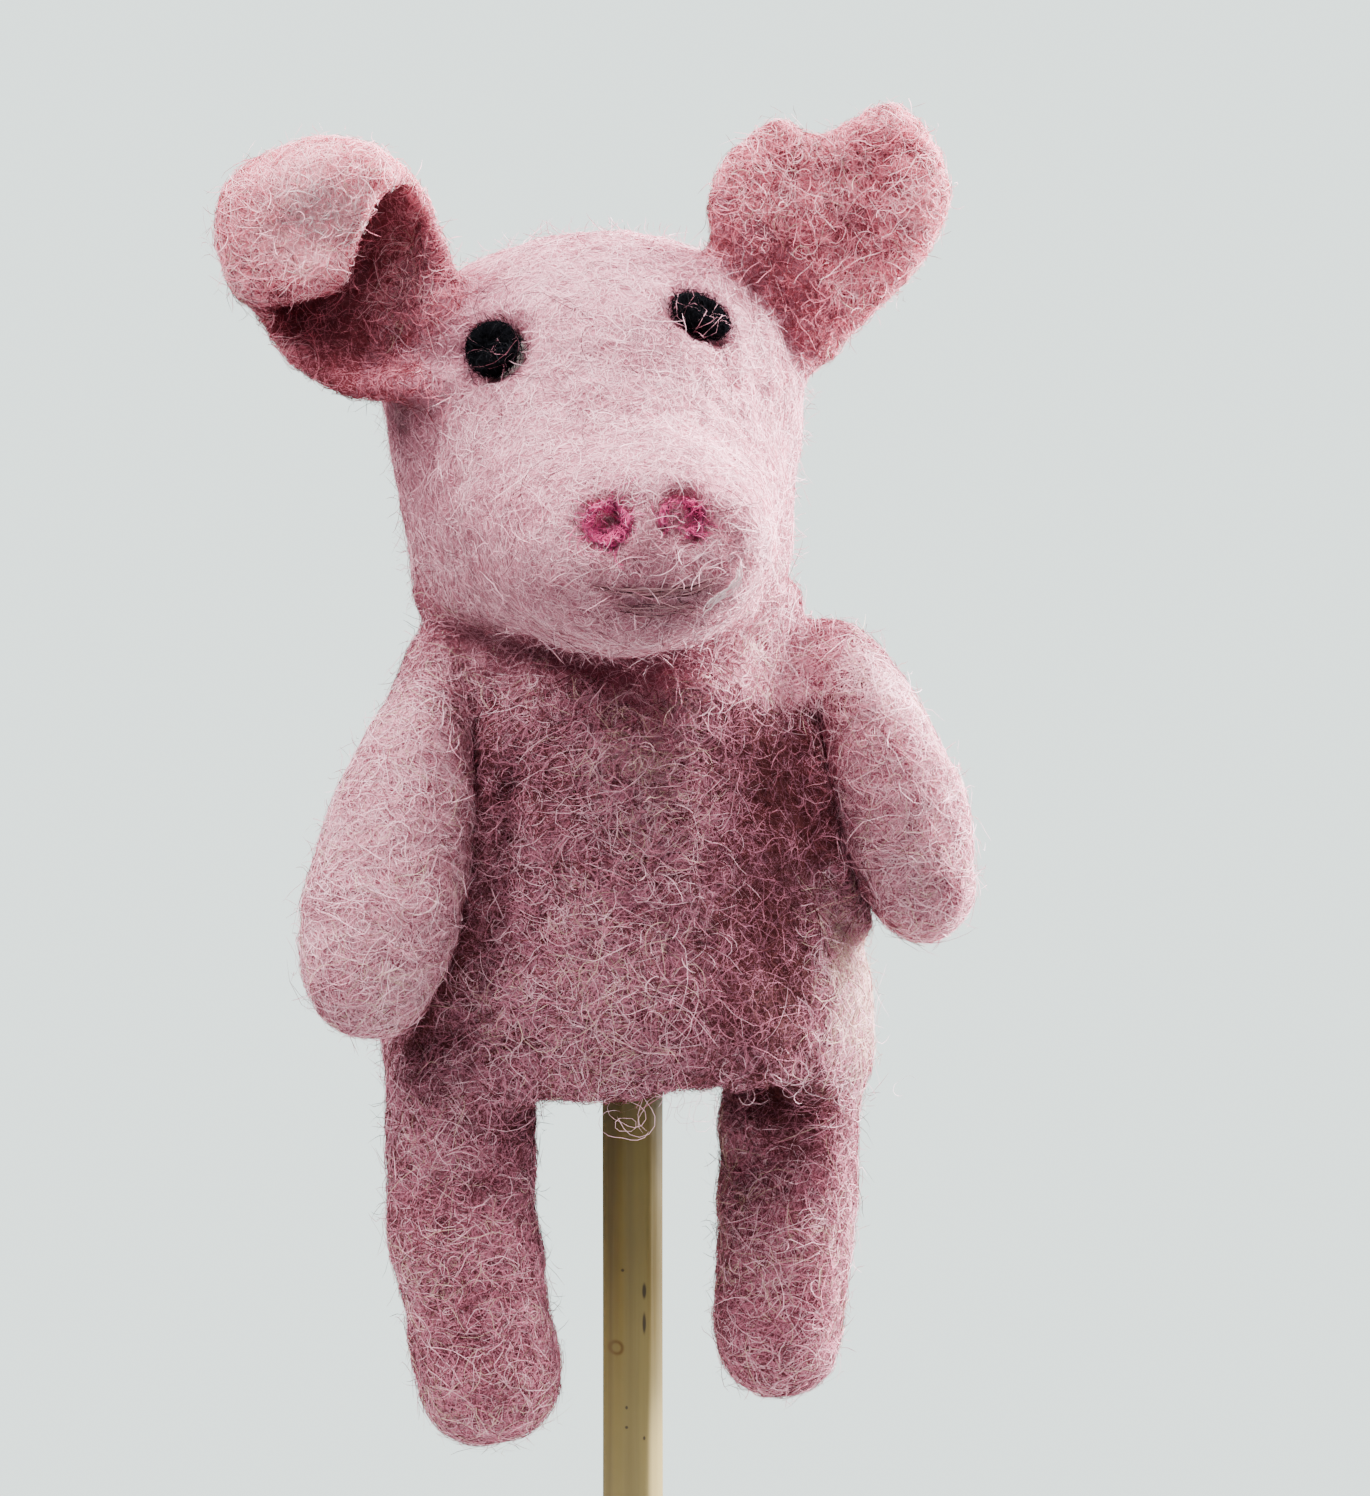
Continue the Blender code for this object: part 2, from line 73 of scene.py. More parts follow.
DENT_CELL = 1.5 * MM
PATCH_CELL = 3.0 * MM      # how wide the paler and darker patches are

SNOUT_FILLET = 5.0 * MM    # how far wool runs on between two forms
ARM_FILLET = 2.6 * MM
LEG_FILLET = 4.5 * MM
EAR_FILLET = 4.0 * MM
NECK_FILLET = 4.5 * MM
LEG_ROOT = 5.0 * MM        # how far a leg's wool goes on up inside the hem
FIBRE_BED = 0.25 * MM      # a skin lies this far inside its CAD solid, and its fibres fill the rest
ARM_SWELL = 0.4 * MM       # how much fuller an arm is, because its CAD solid keeps clear of the body
EAR_SWELL = 0.15 * MM
PRESS = 1.7 * MM           # how far the body's side is pressed out towards an arm
PRESS_FADE = (0.5 * MM, 4 * MM)      # from an arm's skin to where the pressing fades, and where it ends
STUB_OVERLAP = 2.0 * MM    # how far a limb's stub runs on under the limb's own skin
ROOT_SETTLE = 1.0 * MM     # above its seam, where a leg's root has taken on the leg's own form
ROOT_REACH = 1.0 * MM      # skin further from a limb than this isn't on its root
ROOT_EDGE = (-0.5 * MM, 0.8 * MM)    # over this range of distances a limb's root takes over
NECK_HALF_WIDTH = 11.5 * MM
NECK_HALF_DEPTH = 10.6 * MM
NECK_HALF_HEIGHT = 4.0 * MM
NECK_FILLET_END = 6.5 * MM  # over or under the pivot, where the neck's fillet has run out
NECK_REACH = 8.0 * MM      # over or under the pivot, where the neck's skin ends at the latest
NECK_THIN = 0.05 * MM      # a fillet thinner than this isn't part of the neck's skin
NECK_FRONT = 0.75          # the share of the neck's fillet that the crease under the chin takes away
NECK_FRONT_FADE = (3 * MM, 9 * MM)   # how far forward of the neck's middle that sets in

LIMB_SEAM = 5.0 * MM       # from a limb's pivot to where its own skin starts
EAR_SEAM = 4.0 * MM

ARMS = ("arm_left", "arm_right")
LEGS = ("leg_left", "leg_right")
EARS = ("ear_left", "ear_right")
EYES = ("eye_left", "eye_right")
NOSTRILS = ("nostril_left", "nostril_right")
FELT_NODES = ("body_sleeve", "head", "snout") + ARMS + LEGS + EARS
JOINTS = {joint["child"]: joint for joint in frame["joints"]}
NECK_PIVOT = np.array(JOINTS["neck"]["pos_m"])


# ---------------------------------------------------------------- distance fields

def mesh_arrays(item):
    mesh = item.data
    mesh.calc_loop_triangles()
    points = np.empty(len(mesh.vertices) * 3, np.float32)
    mesh.vertices.foreach_get("co", points)
    triangles = np.empty(len(mesh.loop_triangles) * 3, np.int32)
    mesh.loop_triangles.foreach_get("vertices", triangles)
    return points.reshape(-1, 3), triangles.reshape(-1, 3)


def soften(field, passes):
    for _ in range(passes):
        for axis in range(3):
            field = 0.5 * field + 0.25 * (np.roll(field, 1, axis) + np.roll(field, -1, axis))
    return field


def rise(value, start, end):
    """0 before start, 1 past end, smooth between."""
    share = np.clip((value - start) / (end - start), 0, 1)
    return share * share * (3 - 2 * share)


class Grid:
    """A box of sample points round some CAD nodes; a field is an array of one value at each."""

    def __init__(self, nodes, voxel):
        corners = np.array([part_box(node) for node in nodes])
        self.voxel = voxel
        self.first = np.floor((corners[:, 0].min(axis=0) - MARGIN) / voxel).astype(int)
        self.counts = np.ceil((corners[:, 1].max(axis=0) + MARGIN) / voxel).astype(int) - self.first
        self.transform = vdb.createLinearTransform(voxelSize=voxel)

    def axes(self):
        """The X, Y and Z of the sample points."""
        lines = [((self.first[k] + np.arange(self.counts[k])) * self.voxel).astype(np.float32)
                 for k in range(3)]
        return np.meshgrid(*lines, indexing="ij", sparse=True)

    def distance(self, node, passes):
        """Signed distance to a CAD node, negative inside, with its facets blurred."""
        points, triangles = mesh_arrays(frame["nodes"][node])
        volume = vdb.FloatGrid.createLevelSetFromPolygons(
            points, triangles=triangles.astype(np.uint32), transform=self.transform, halfWidth=BAND)
        field = np.empty(tuple(self.counts), np.float32)
        volume.copyToArray(field, ijk=tuple(int(v) for v in self.first))
        return soften(field, passes)

    def cloud(self, cell, seed):
        """A smooth random field from -1 to 1 whose lumps are about one cell across."""
        rng = np.random.default_rng(seed)
        size = [int(count * self.voxel / cell) + 3 for count in self.counts]
        field = rng.uniform(-1, 1, size).astype(np.float32)
        for axis in range(3):
            place = np.arange(self.counts[axis]) * self.voxel / cell
            before = place.astype(int)
            share = rise(place - before, 0, 1).astype(np.float32).reshape(-1, 1, 1)
            field = np.moveaxis(field, axis, 0)
            field = field[before] * (1 - share) + field[before + 1] * share
            field = np.moveaxis(field, 0, axis)
        return field

    def skin(self, field):
        """Points and quads of the field's zero surface."""
        volume = vdb.FloatGrid()
        volume.copyFromArray(np.ascontiguousarray(field, np.float32), ijk=tuple(int(v) for v in self.first))
        volume.transform = self.transform
        points, quads = volume.convertToQuads()
        return points, quads.astype(np.int64)


grid = Grid(FELT_NODES, VOXEL)
X, Y, Z = grid.axes()


def join(a, b, reach):
    """Union of two fields with a fillet; reach may vary over the grid."""
    reach = np.maximum(reach, 1e-6)
    share = np.clip(0.5 + 0.5 * (b - a) / reach, 0, 1)
    return b + (a - b) * share - reach * share * (1 - share)


def sample(field, places):
    """The field's value at each place, by trilinear interpolation."""
    index = np.clip(places / VOXEL - grid.first, 0, grid.counts - 1.001)
    low = index.astype(int)
    share = index - low
    total = np.zeros(len(places), np.float32)
    for corner in np.ndindex(2, 2, 2):
        weight = np.prod(np.where(corner, share, 1 - share), axis=1)
        i, j, k = (low + corner).T
        total += weight * field[i, j, k]
    return total


def unit(vectors):
    return vectors / np.maximum(np.linalg.norm(vectors, axis=-1, keepdims=True), 1e-12)


def uphill(field, places):
    """Unit vectors that point away from the felt at each place."""
    steps = np.eye(3) * VOXEL
    return unit(np.stack([sample(field, places + step) - sample(field, places - step)
                          for step in steps], axis=1))


# ---------------------------------------------------------------- how pale or dark the wool is, with painted shade and light

CREASE_REACH = 2.5 * MM    # felt this near in front of a place makes it a crease
CREASE_RANGE = (0.08, 0.8)  # how much of a crease starts to show, and how much shows fully
# how dark the painted shade in a crease makes the tone
CREASE_SHADE = 1.6
PATCH = 0.28               # how much the tone changes from patch to patch
SPOT_CORE = 0.3            # the share of a spot's radius that has the spot's whole tone


def box_point(node, x_share, y_share, z_share):
    """A place in a node's box, by its share of the way from the low corner to the high one."""
    low, high = (np.array(corner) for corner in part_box(node))
    return low + (high - low) * (x_share, y_share, z_share)


def tone_of(places, field, cloud, spots):
    """How pale (up to 1) or dark (down to -1) the wool is at each place.

    It has painted shade in creases, is uneven as the cloud says, and is changed by each spot's amount
    within its radius, which at many spots is painted light or shade.
    """
    # painted shade in creases: felt lying close in front of a place darkens it
    ahead = places + uphill(field, places) * CREASE_REACH
    crease = np.clip(1 - sample(field, ahead) / CREASE_REACH, 0, 1)
    tone = PATCH * sample(cloud, places) - CREASE_SHADE * rise(crease, *CREASE_RANGE)
    for centre, radius, amount in spots:
        off = np.linalg.norm(places - centre, axis=1)
        tone = tone + amount * (1 - rise(off, SPOT_CORE * radius, radius))
    return np.clip(tone, -1, 1)


# ---------------------------------------------------------------- joints of the limbs and ears

def hinge(limb):
    """A limb's pivot and the unit vector from it down the limb."""
    pivot = np.array(JOINTS[limb]["pos_m"])
    low, high = (np.array(corner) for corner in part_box(limb))
    return pivot, unit((low + high) / 2 - pivot)


def run_along(limb, x, y, z):
    """How far places lie down a limb from its pivot."""
    pivot, along = hinge(limb)
    return (x - pivot[0]) * along[0] + (y - pivot[1]) * along[1] + (z - pivot[2]) * along[2]


def ride_on(body):
    """What a piece does to move with one body."""
    return lambda item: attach(item, body)


def bend_at():
    """What a piece does at a limb's or an ear's skin: its transform is applied to its mesh."""
    return lambda item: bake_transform(item)


def twist_neck(item):
    """What the lower neck's piece does: its transform is applied to its mesh."""
    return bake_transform(item)


def nod_neck(item):
    """What the upper neck's piece does: its transform is applied to its mesh."""
    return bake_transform(item)


# ---------------------------------------------------------------- meshes

TONE = "tone"              # the attribute that carries a felt skin's tone, painted shade and light included, to its material


def new_mesh(name, points, faces, material, tones=None):
    """A smooth mesh object from arrays, without the points that no face uses."""
    used, index = np.unique(faces, return_inverse=True)
    index = index.reshape(faces.shape).astype(np.int32)
    mesh = bpy.data.meshes.new(name)
    mesh.vertices.add(len(used))
    mesh.vertices.foreach_set("co", points[used].astype(np.float32).ravel())
    mesh.loops.add(index.size)
    mesh.loops.foreach_set("vertex_index", index.ravel())
    mesh.polygons.add(len(index))
    mesh.polygons.foreach_set("loop_start", np.arange(0, index.size, index.shape[1], dtype=np.int32))
    mesh.update(calc_edges=True)
    mesh.shade_smooth()
    if tones is not None:
        layer = mesh.attributes.new(TONE, "FLOAT", "POINT")
        layer.data.foreach_set("value", tones[used].astype(np.float32))
    mesh.materials.append(material)
    item = bpy.data.objects.new(name, mesh)
    bpy.context.scene.collection.objects.link(item)
    return item


# ---------------------------------------------------------------- materials

def add(tree, kind, inputs, **settings):
    """Add a shader node; inputs maps a socket to a value or to another node's output."""
    node = tree.nodes.new(kind)
    for key, value in settings.items():
        setattr(node, key, value)
    for key, value in inputs.items():
        if isinstance(value, bpy.types.NodeSocket):
            tree.links.new(value, node.inputs[key])
        else:
            node.inputs[key].default_value = value
    return node


def maths(tree, operation, *values):
    """One Math node on the given values or outputs."""
    return add(tree, "ShaderNodeMath", dict(enumerate(values)), operation=operation).outputs[0]


def noise(tree, place, scale, detail=2.0):
    inputs = {"Vector": place, "Scale": scale, "Detail": detail}
    return add(tree, "ShaderNodeTexNoise", inputs).outputs["Fac"]


def mix(tree, share, first, second):
    return add(tree, "ShaderNodeMix", {0: share, 6: first, 7: second}, data_type="RGBA").outputs[2]


def spread(tree, value, low, high, to_low=0.0, to_high=1.0):
    return add(tree, "ShaderNodeMapRange", {0: value, 1: low, 2: high, 3: to_low, 4: to_high},
               interpolation_type="SMOOTHSTEP").outputs[0]


def strands(tree, place, scale, width):
    """Thin curly lines where a noise crosses its middle: 1 on a line, 0 between."""
    off_middle = maths(tree, "ABSOLUTE", maths(tree, "SUBTRACT", noise(tree, place, scale, 1.0), 0.5))
    return spread(tree, off_middle, 0.0, width, 1.0, 0.0)


def object_place(tree):
    return add(tree, "ShaderNodeTexCoord", {}).outputs["Object"]


def wool(name, colour, sheen):
    """Plain wool of one colour: the finish of single fibres, and the start of a matted skin's."""
    material = bpy.data.materials.new(name)
    material.use_nodes = True
    shader = material.node_tree.nodes["Principled BSDF"]
    shader.inputs["Base Color"].default_value = (*colour, 1)
    shader.inputs["Roughness"].default_value = 0.9
    shader.inputs["Specular IOR Level"].default_value = 0.6 * sheen
    shader.inputs["Sheen Weight"].default_value = sheen
    shader.inputs["Sheen Tint"].default_value = (*(math.sqrt(value) for value in colour), 1)
    shader.inputs["Sheen Roughness"].default_value = 0.5
    return material


def finish(material, colour, height, depth, strength=0.5):
    """Links a colour and a bump to a material's shader."""
    tree = material.node_tree
    shader = tree.nodes["Principled BSDF"]
    bump = add(tree, "ShaderNodeBump", {"Height": height, "Strength": strength, "Distance": depth})
    tree.links.new(colour, shader.inputs["Base Color"])
    tree.links.new(bump.outputs["Normal"], shader.inputs["Normal"])
    return material


STRAND_LAYERS = ((560.0, 0.020), (900.0, 0.028), (1500.0, 0.035))  # the scale and width of each


def felt(name, pit, middle, light, sheen):
    """Matted wool: pale curled strands over pits of painted shade, paler or darker by the skin's tone,
    which paints light and shade.
    """
    material = wool(name, middle, sheen)
    tree = material.node_tree
    place = object_place(tree)
    tone = add(tree, "ShaderNodeAttribute", {}, attribute_name=TONE).outputs["Fac"]
    first, *others = STRAND_LAYERS
    lines = strands(tree, place, *first)
    for layer in others:
        lines = maths(tree, "MAXIMUM", lines, strands(tree, place, *layer))
    # painted shade in the pits between the strands: the pit colour where the noise is low
    pits = spread(tree, noise(tree, place, 1100.0), 0.36, 0.60)
    ground = mix(tree, pits, (*pit, 1), (*middle, 1))
    # a pale tone brings painted light and a dark one painted shade, as well as paler and darker patches
    ground = mix(tree, spread(tree, tone, 0.0, 1.0, 0.0, 0.6), ground, (*light, 1))
    ground = mix(tree, spread(tree, tone, 0.0, -1.0, 0.0, 0.9), ground, (*pit, 1))
    paleness = spread(tree, tone, -1.0, 1.0, 0.10, 0.85)
    colour = mix(tree, maths(tree, "MULTIPLY", lines, paleness), ground, (*light, 1))
    height = maths(tree, "ADD", maths(tree, "MULTIPLY", lines, 0.5), pits)
    return finish(material, colour, height, 0.12 * MM)


# ---------------------------------------------------------------- wool of each part

class Wool:
    """The finishes of one sort of wool: its matted skin, and its fibres from pale to dark."""

    def __init__(self, name, slot, pit, middle, light, tones, sheen=0.3):
        self.slot = slot
        self.skin = felt(name + "_felt", pit, middle, light, sheen)
        self.shares = [share for share, _ in tones]
        self.fibres = [wool(f"{name}_fibre_{k}", colour, sheen) for k, (_, colour) in enumerate(tones)]


TORSO_WOOL = Wool("torso", "mauve_wool", (0.065, 0.010, 0.013), (0.33, 0.092, 0.13), (0.62, 0.30, 0.355),
                  ((0.07, (0.54, 0.34, 0.28)), (0.24, (0.68, 0.36, 0.42)), (0.37, (0.43, 0.14, 0.195)),
                   (0.10, (0.28, 0.09, 0.135)), (0.22, (0.075, 0.013, 0.015))))
LEG_WOOL = Wool("leg", "mauve_wool", (0.10, 0.016, 0.024), (0.34, 0.092, 0.13), (0.62, 0.30, 0.355),
                ((0.06, (0.52, 0.32, 0.26)), (0.21, (0.66, 0.33, 0.39)), (0.45, (0.39, 0.115, 0.165)),
                 (0.28, (0.10, 0.019, 0.027))))
ARM_WOOL = Wool("arm", "pink_wool", (0.26, 0.06, 0.09), (0.58, 0.225, 0.29), (0.84, 0.48, 0.55),
                ((0.34, (0.85, 0.49, 0.56)), (0.06, (0.62, 0.42, 0.34)), (0.46, (0.64, 0.265, 0.335)),
                 (0.14, (0.24, 0.06, 0.085))))
HEAD_WOOL = Wool("head", "pink_wool", (0.42, 0.13, 0.18), (0.62, 0.25, 0.32), (0.82, 0.46, 0.53),
                 ((0.46, (0.83, 0.475, 0.54)), (0.42, (0.70, 0.33, 0.40)), (0.12, (0.44, 0.16, 0.21))))
EAR_WOOL = Wool("ear", "rose_wool", (0.20, 0.030, 0.042), (0.66, 0.16, 0.22), (0.92, 0.46, 0.52),
                ((0.32, (0.94, 0.46, 0.52)), (0.03, (0.62, 0.38, 0.32)), (0.45, (0.72, 0.20, 0.265)),
                 (0.20, (0.22, 0.036, 0.05))))
BLACK_WOOL = Wool("black", "black_wool", (0.002, 0.002, 0.003), (0.006, 0.006, 0.007), (0.02, 0.02, 0.022),
                  ((0.30, (0.016, 0.016, 0.018)), (0.70, (0.004, 0.004, 0.005))), sheen=0.0)
MAGENTA_WOOL = Wool("magenta", "magenta_wool", (0.05, 0.002, 0.010), (0.56, 0.05, 0.18), (0.78, 0.20, 0.38),
                    ((0.45, (0.80, 0.22, 0.40)), (0.55, (0.54, 0.05, 0.17))))
WHITE_WOOL = Wool("white", "white_wool", (0.50, 0.42, 0.40), (0.72, 0.66, 0.62), (0.85, 0.80, 0.78),
                  ((1.0, (0.90, 0.68, 0.71)),))
UMBER_WOOL = Wool("umber", "umber_wool", (0.06, 0.02, 0.02), (0.14, 0.06, 0.06), (0.36, 0.22, 0.22),
                  ((0.60, (0.09, 0.03, 0.035)), (0.40, (0.42, 0.20, 0.22))))


# ---------------------------------------------------------------- fibres

FIBRE_STEPS = 8            # points along a fibre
FIBRE_DENSITY = 12.0 / MM ** 2
FIBRE_WIDTH = 0.045 * MM
FIBRE_LENGTH = 3.6 * MM
EAR_FIBRE_LENGTH = 2.4 * MM
FIBRES_PER_PIECE = 14_000  # keeps each piece's mesh under 200,000 triangles
STRAY_SHARE = 0.07         # the fibres that stand out as the fuzz round the edges
STRAY_RISE = 1.7 * MM
TONE_PULL = 0.60           # how strongly the wool's tone, painted shade and light included, picks which fibres grow there
CLEAR = 0.03 * MM          # a fibre's middle line never lies lower over the skin than this
LENGTH_SPREAD = 0.4
TURN_SPREAD = 0.42         # how differently the fibres curve, in radians a step
WANDER = 0.25              # how much one fibre changes its curve, in radians a step
ROLL_SPREAD = 0.6
END_WIDTH = 0.35           # a fibre's width at its ends, as a share of its width


def scatter(points, quads, density, rng):
    """Random places on the quads, this many per square metre."""
    a, b, c, d = (points[quads[:, k]] for k in range(4))
    area = np.linalg.norm(np.cross(c - a, d - b), axis=1) / 2
    chosen = rng.choice(len(quads), int(area.sum() * density), p=area / area.sum())
    u, v = rng.random((2, len(chosen), 1))
    return (a[chosen] * (1 - u) + b[chosen] * u) * (1 - v) + (d[chosen] * (1 - u) + c[chosen] * u) * v


def turned(vectors, axes, angles):
    """Vectors turned about unit axes at right angles to them."""
    angles = angles[:, None]
    return vectors * np.cos(angles) + np.cross(axes, vectors) * np.sin(angles)


def flattened(vectors, axes):
    """The part of each vector at right angles to its axis, as a unit vector."""
    return unit(vectors - axes * np.sum(vectors * axes, axis=1, keepdims=True))


def lie(roots, field, rng, length=FIBRE_LENGTH, grain=(0, 0, 0), curl=1.0, arch=0.25 * MM, loose=0.5 * MM,
        lift=CLEAR):
    """Curled fibres that lie over a field's surface: their places and the outward directions there.

    arch is how high a fibre may loop, loose how far its end may stand off, and lift how far all of it does.
    """
    count = len(roots)
    outward = uphill(field, roots)
    way = np.sign(rng.random((count, 1)) - 0.5)
    heading = flattened(rng.normal(size=(count, 3)) + way * np.array(grain), outward)
    step = length * rng.lognormal(0.0, LENGTH_SPREAD, (count, 1)) / (FIBRE_STEPS - 1)
    turn = rng.normal(0, TURN_SPREAD * curl, count)
    arches = arch * rng.random((count, 1)) ** 2
    stray = rng.random((count, 1)) < STRAY_SHARE
    ends = np.where(stray, STRAY_RISE * rng.random((count, 1)), loose * rng.random((count, 1)) ** 4)
    place = roots.copy()
    places, outs = [], []
    for share in np.linspace(0, 1, FIBRE_STEPS):
        place = place - outward * sample(field, place)[:, None]
        outward = uphill(field, place)
        places.append(place + outward * (arches * math.sin(math.pi * share) + ends * share ** 2 + lift))
        outs.append(outward)
        heading = turned(flattened(heading, outward), outward, turn + rng.normal(0, WANDER * curl, count))
        place = place + heading * step
    return np.stack(places, axis=1), np.stack(outs, axis=1)


def ribbons(places, outs, width, rng):
    """Flat fibres, each rolled a little about its own line and narrow at its ends."""
    count, steps = places.shape[:2]
    across = unit(np.cross(outs, np.gradient(places, axis=1)))
    roll = rng.normal(0, ROLL_SPREAD, (count, 1, 1))
    side = across * np.cos(roll) + outs * np.sin(roll)
    taper = np.ones(steps)
    taper[[0, -1]] = END_WIDTH
    half = side * (width / 2) * taper[None, :, None]
    points = np.stack([places - half, places + half], axis=2).reshape(-1, 3)
    first = (np.arange(count) * steps * 2)[:, None] + np.arange(steps - 1) * 2
    return points, first.reshape(-1, 1) + np.array([0, 1, 3, 2])


def fibre_piece(name, fibres, material, move, rng, width=FIBRE_WIDTH):
    """One mesh of fibres, from their places and outward directions."""
    points, quads = ribbons(*fibres, width, rng)
    item = new_mesh(name, points, quads, material)
    move(item)
    return item


def near(piece, centre, radius):
    """The part of a felt piece that lies within a radius of a place."""
    points, quads = piece
    return points, quads[np.linalg.norm(points[quads].mean(axis=1) - centre, axis=1) < radius]


def cover(name, sort, piece, field, move, seed, spots=(), density=1.0, width=FIBRE_WIDTH, **lay):
    """Lays fibres over one felt piece, the paler ones mostly where its tone is pale, so the darker fibres
    also carry its painted shade.
    """
    rng = np.random.default_rng(seed)
    roots = scatter(*piece, FIBRE_DENSITY * density, rng)
    rank = rng.random(len(roots)) - TONE_PULL * tone_of(roots, field, patches, spots)
    steps = np.cumsum(sort.shares)[:-1]
    chosen = np.searchsorted(steps, rank)
    for index, material in enumerate(sort.fibres):
        same = roots[chosen == index]
        for part, some in enumerate(np.array_split(same, len(same) // FIBRES_PER_PIECE + 1)):
            fibre_piece(f"{name}_fibres_{index}_{part}", lie(some, field, rng, **lay), material,
                        move, rng, width)


# ---------------------------------------------------------------- the felt skins


def add_stub(field, limb, root, seam, fillet):
    """The parent's field with a limb's root filleted on, cut off a little past the seam."""
    along = run_along(limb, X, Y, Z)
    stub = np.maximum(root, along - (seam + STUB_OVERLAP))
    return join(field, stub, fillet * (1 - rise(along, seam - STUB_OVERLAP, seam)))


def leg_root(leg):
    """A leg's field, swept on up inside the hem. Near the seam it's the leg's own."""
    swept = fields[leg]
    for _ in range(round(LEG_ROOT / VOXEL)):
        swept = np.minimum(fields[leg], np.roll(swept, 1, axis=2))
    own = rise(run_along(leg, X, Y, Z), 0, LIMB_SEAM - ROOT_SETTLE)
    return swept + (fields[leg] - swept) * own


def on_limb(places, limbs, own_field):
    """From 0 to 1, how far places of a parent's skin are on a limb's root."""
    limb_field = np.min([sample(fields[limb], places) for limb in limbs], axis=0)
    return rise(sample(own_field, places) - limb_field, *ROOT_EDGE) * (limb_field < ROOT_REACH)


def split_roots(piece, limbs, own_field):
    """A parent's felt piece as two: its own part, and the part on the limbs' roots."""
    points, quads = piece
    root = on_limb(points[quads].mean(axis=1), limbs, own_field) > 0.5
    return (points, quads[~root]), (points, quads[root])


def felt_piece(name, points, quads, sort, move, field, nodes=(), spots=(), shift=0.0):
    """A stuffed felt skin that stands for its CAD nodes; shift makes its tone paler or darker."""
    tones = np.clip(tone_of(points, field, patches, spots) + shift, -1, 1)
    item = new_mesh(name, points, quads, sort.skin, tones)
    if nodes:
        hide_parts(*nodes)
    move(item)
    return points, quads


def parent_felt(name, field, own_field, limbs, seam, sort, move, group, nodes, spots, root_tone):
    """The skin of a group's main body, less the limbs' stubs past their seams.

    root_tone is how much paler or darker its skin is on the stubs.
    """
    points, quads = grid.skin(field)
    centres = points[quads].mean(axis=1)
    keep = np.ones(len(quads), bool)
    for limb in limbs:
        of_limb = sample(fields[limb], centres) < np.minimum(sample(own_field, centres), ROOT_REACH)
        keep &= ~(of_limb & (run_along(limb, *centres.T) > seam))
    shift = root_tone * on_limb(points, limbs, own_field)
    return felt_piece(name, points, quads[keep], sort, move, group, nodes, spots, shift)


def limb_felt(limb, seam, sort, move, group, spots=()):
    """A limb's or an ear's skin past its seam."""
    points, quads = grid.skin(fields[limb])
    keep = run_along(limb, *points[quads].mean(axis=1).T) > seam
    return felt_piece(limb + "_felt", points, quads[keep], sort, move, group, (limb,), spots)


def neck_tube():
    """A short oval neck between head and shoulders."""
    round_neck = (np.hypot(X / NECK_HALF_WIDTH, Y / NECK_HALF_DEPTH) - 1) * NECK_HALF_DEPTH
    return np.maximum(round_neck, np.abs(Z - NECK_PIVOT[2]) - NECK_HALF_HEIGHT)


def neck_field():
    """The whole pig with a short neck filleted between head and shoulders."""
    neck = neck_tube()
    height = np.abs(Z - NECK_PIVOT[2])
    reach = NECK_FILLET * (1 - rise(height, NECK_HALF_HEIGHT, NECK_FILLET_END))
    reach = reach * (1 - NECK_FRONT * rise(-Y, *NECK_FRONT_FADE))
    return join(join(head_group, neck, reach), torso_group, reach)


def neck_skin(name, points, quads, whole):
    """One skin of the neck, as two felt pieces that meet at the height of the pivot."""
    height = points[quads].mean(axis=1)[:, 2] - NECK_PIVOT[2]
    low = felt_piece(name + "_low", points, quads[height <= 0], ARM_WOOL, twist_neck, whole)
    high = felt_piece(name + "_high", points, quads[height > 0], ARM_WOOL, nod_neck, whole)
    return low, high


def felt_neck(whole):
    """The neck where it is filleted on, and inside it the lining that shows under a raised chin."""
    points, quads = grid.skin(whole)
    centres = points[quads].mean(axis=1)
    raised = np.minimum(sample(head_group, centres), sample(torso_group, centres)) > NECK_THIN
    at_neck = np.abs(centres[:, 2] - NECK_PIVOT[2]) < NECK_REACH
    low, high = neck_skin("neck_felt", points, quads[raised & at_neck], whole)
    cover("neck_low", ARM_WOOL, low, whole, twist_neck, seed=85)
    cover("neck_high", ARM_WOOL, high, whole, nod_neck, seed=86)
    neck_skin("neck_lining", *grid.skin(neck_tube()), whole)


patches = grid.cloud(PATCH_CELL, 3)
lumps = LUMP * grid.cloud(LUMP_CELL, 1) + DENT * grid.cloud(DENT_CELL, 2)
fields = {node: grid.distance(node, SOFTENING) + lumps + FIBRE_BED for node in FELT_NODES}
for ear in EARS:
    fields[ear] = fields[ear] - EAR_SWELL
for arm in ARMS:
    fields[arm] = fields[arm] - ARM_SWELL
    beside = 1 - rise(fields[arm], *PRESS_FADE)
    fields["body_sleeve"] = fields["body_sleeve"] - PRESS * beside

torso_field = fields["body_sleeve"]
for arm in ARMS:
    torso_field = add_stub(torso_field, arm, fields[arm], LIMB_SEAM, ARM_FILLET)
for leg in LEGS:
    torso_field = add_stub(torso_field, leg, leg_root(leg), LIMB_SEAM, LEG_FILLET)
skull_field = join(fields["head"], fields["snout"], SNOUT_FILLET)
head_field = skull_field
for ear in EARS:
    head_field = add_stub(head_field, ear, fields[ear], EAR_SEAM, EAR_FILLET)

torso_group = torso_field
for limb in ARMS + LEGS:
    torso_group = np.minimum(torso_group, fields[limb])
head_group = head_field
for ear in EARS:
    head_group = np.minimum(head_group, fields[ear])
whole_group = neck_field()
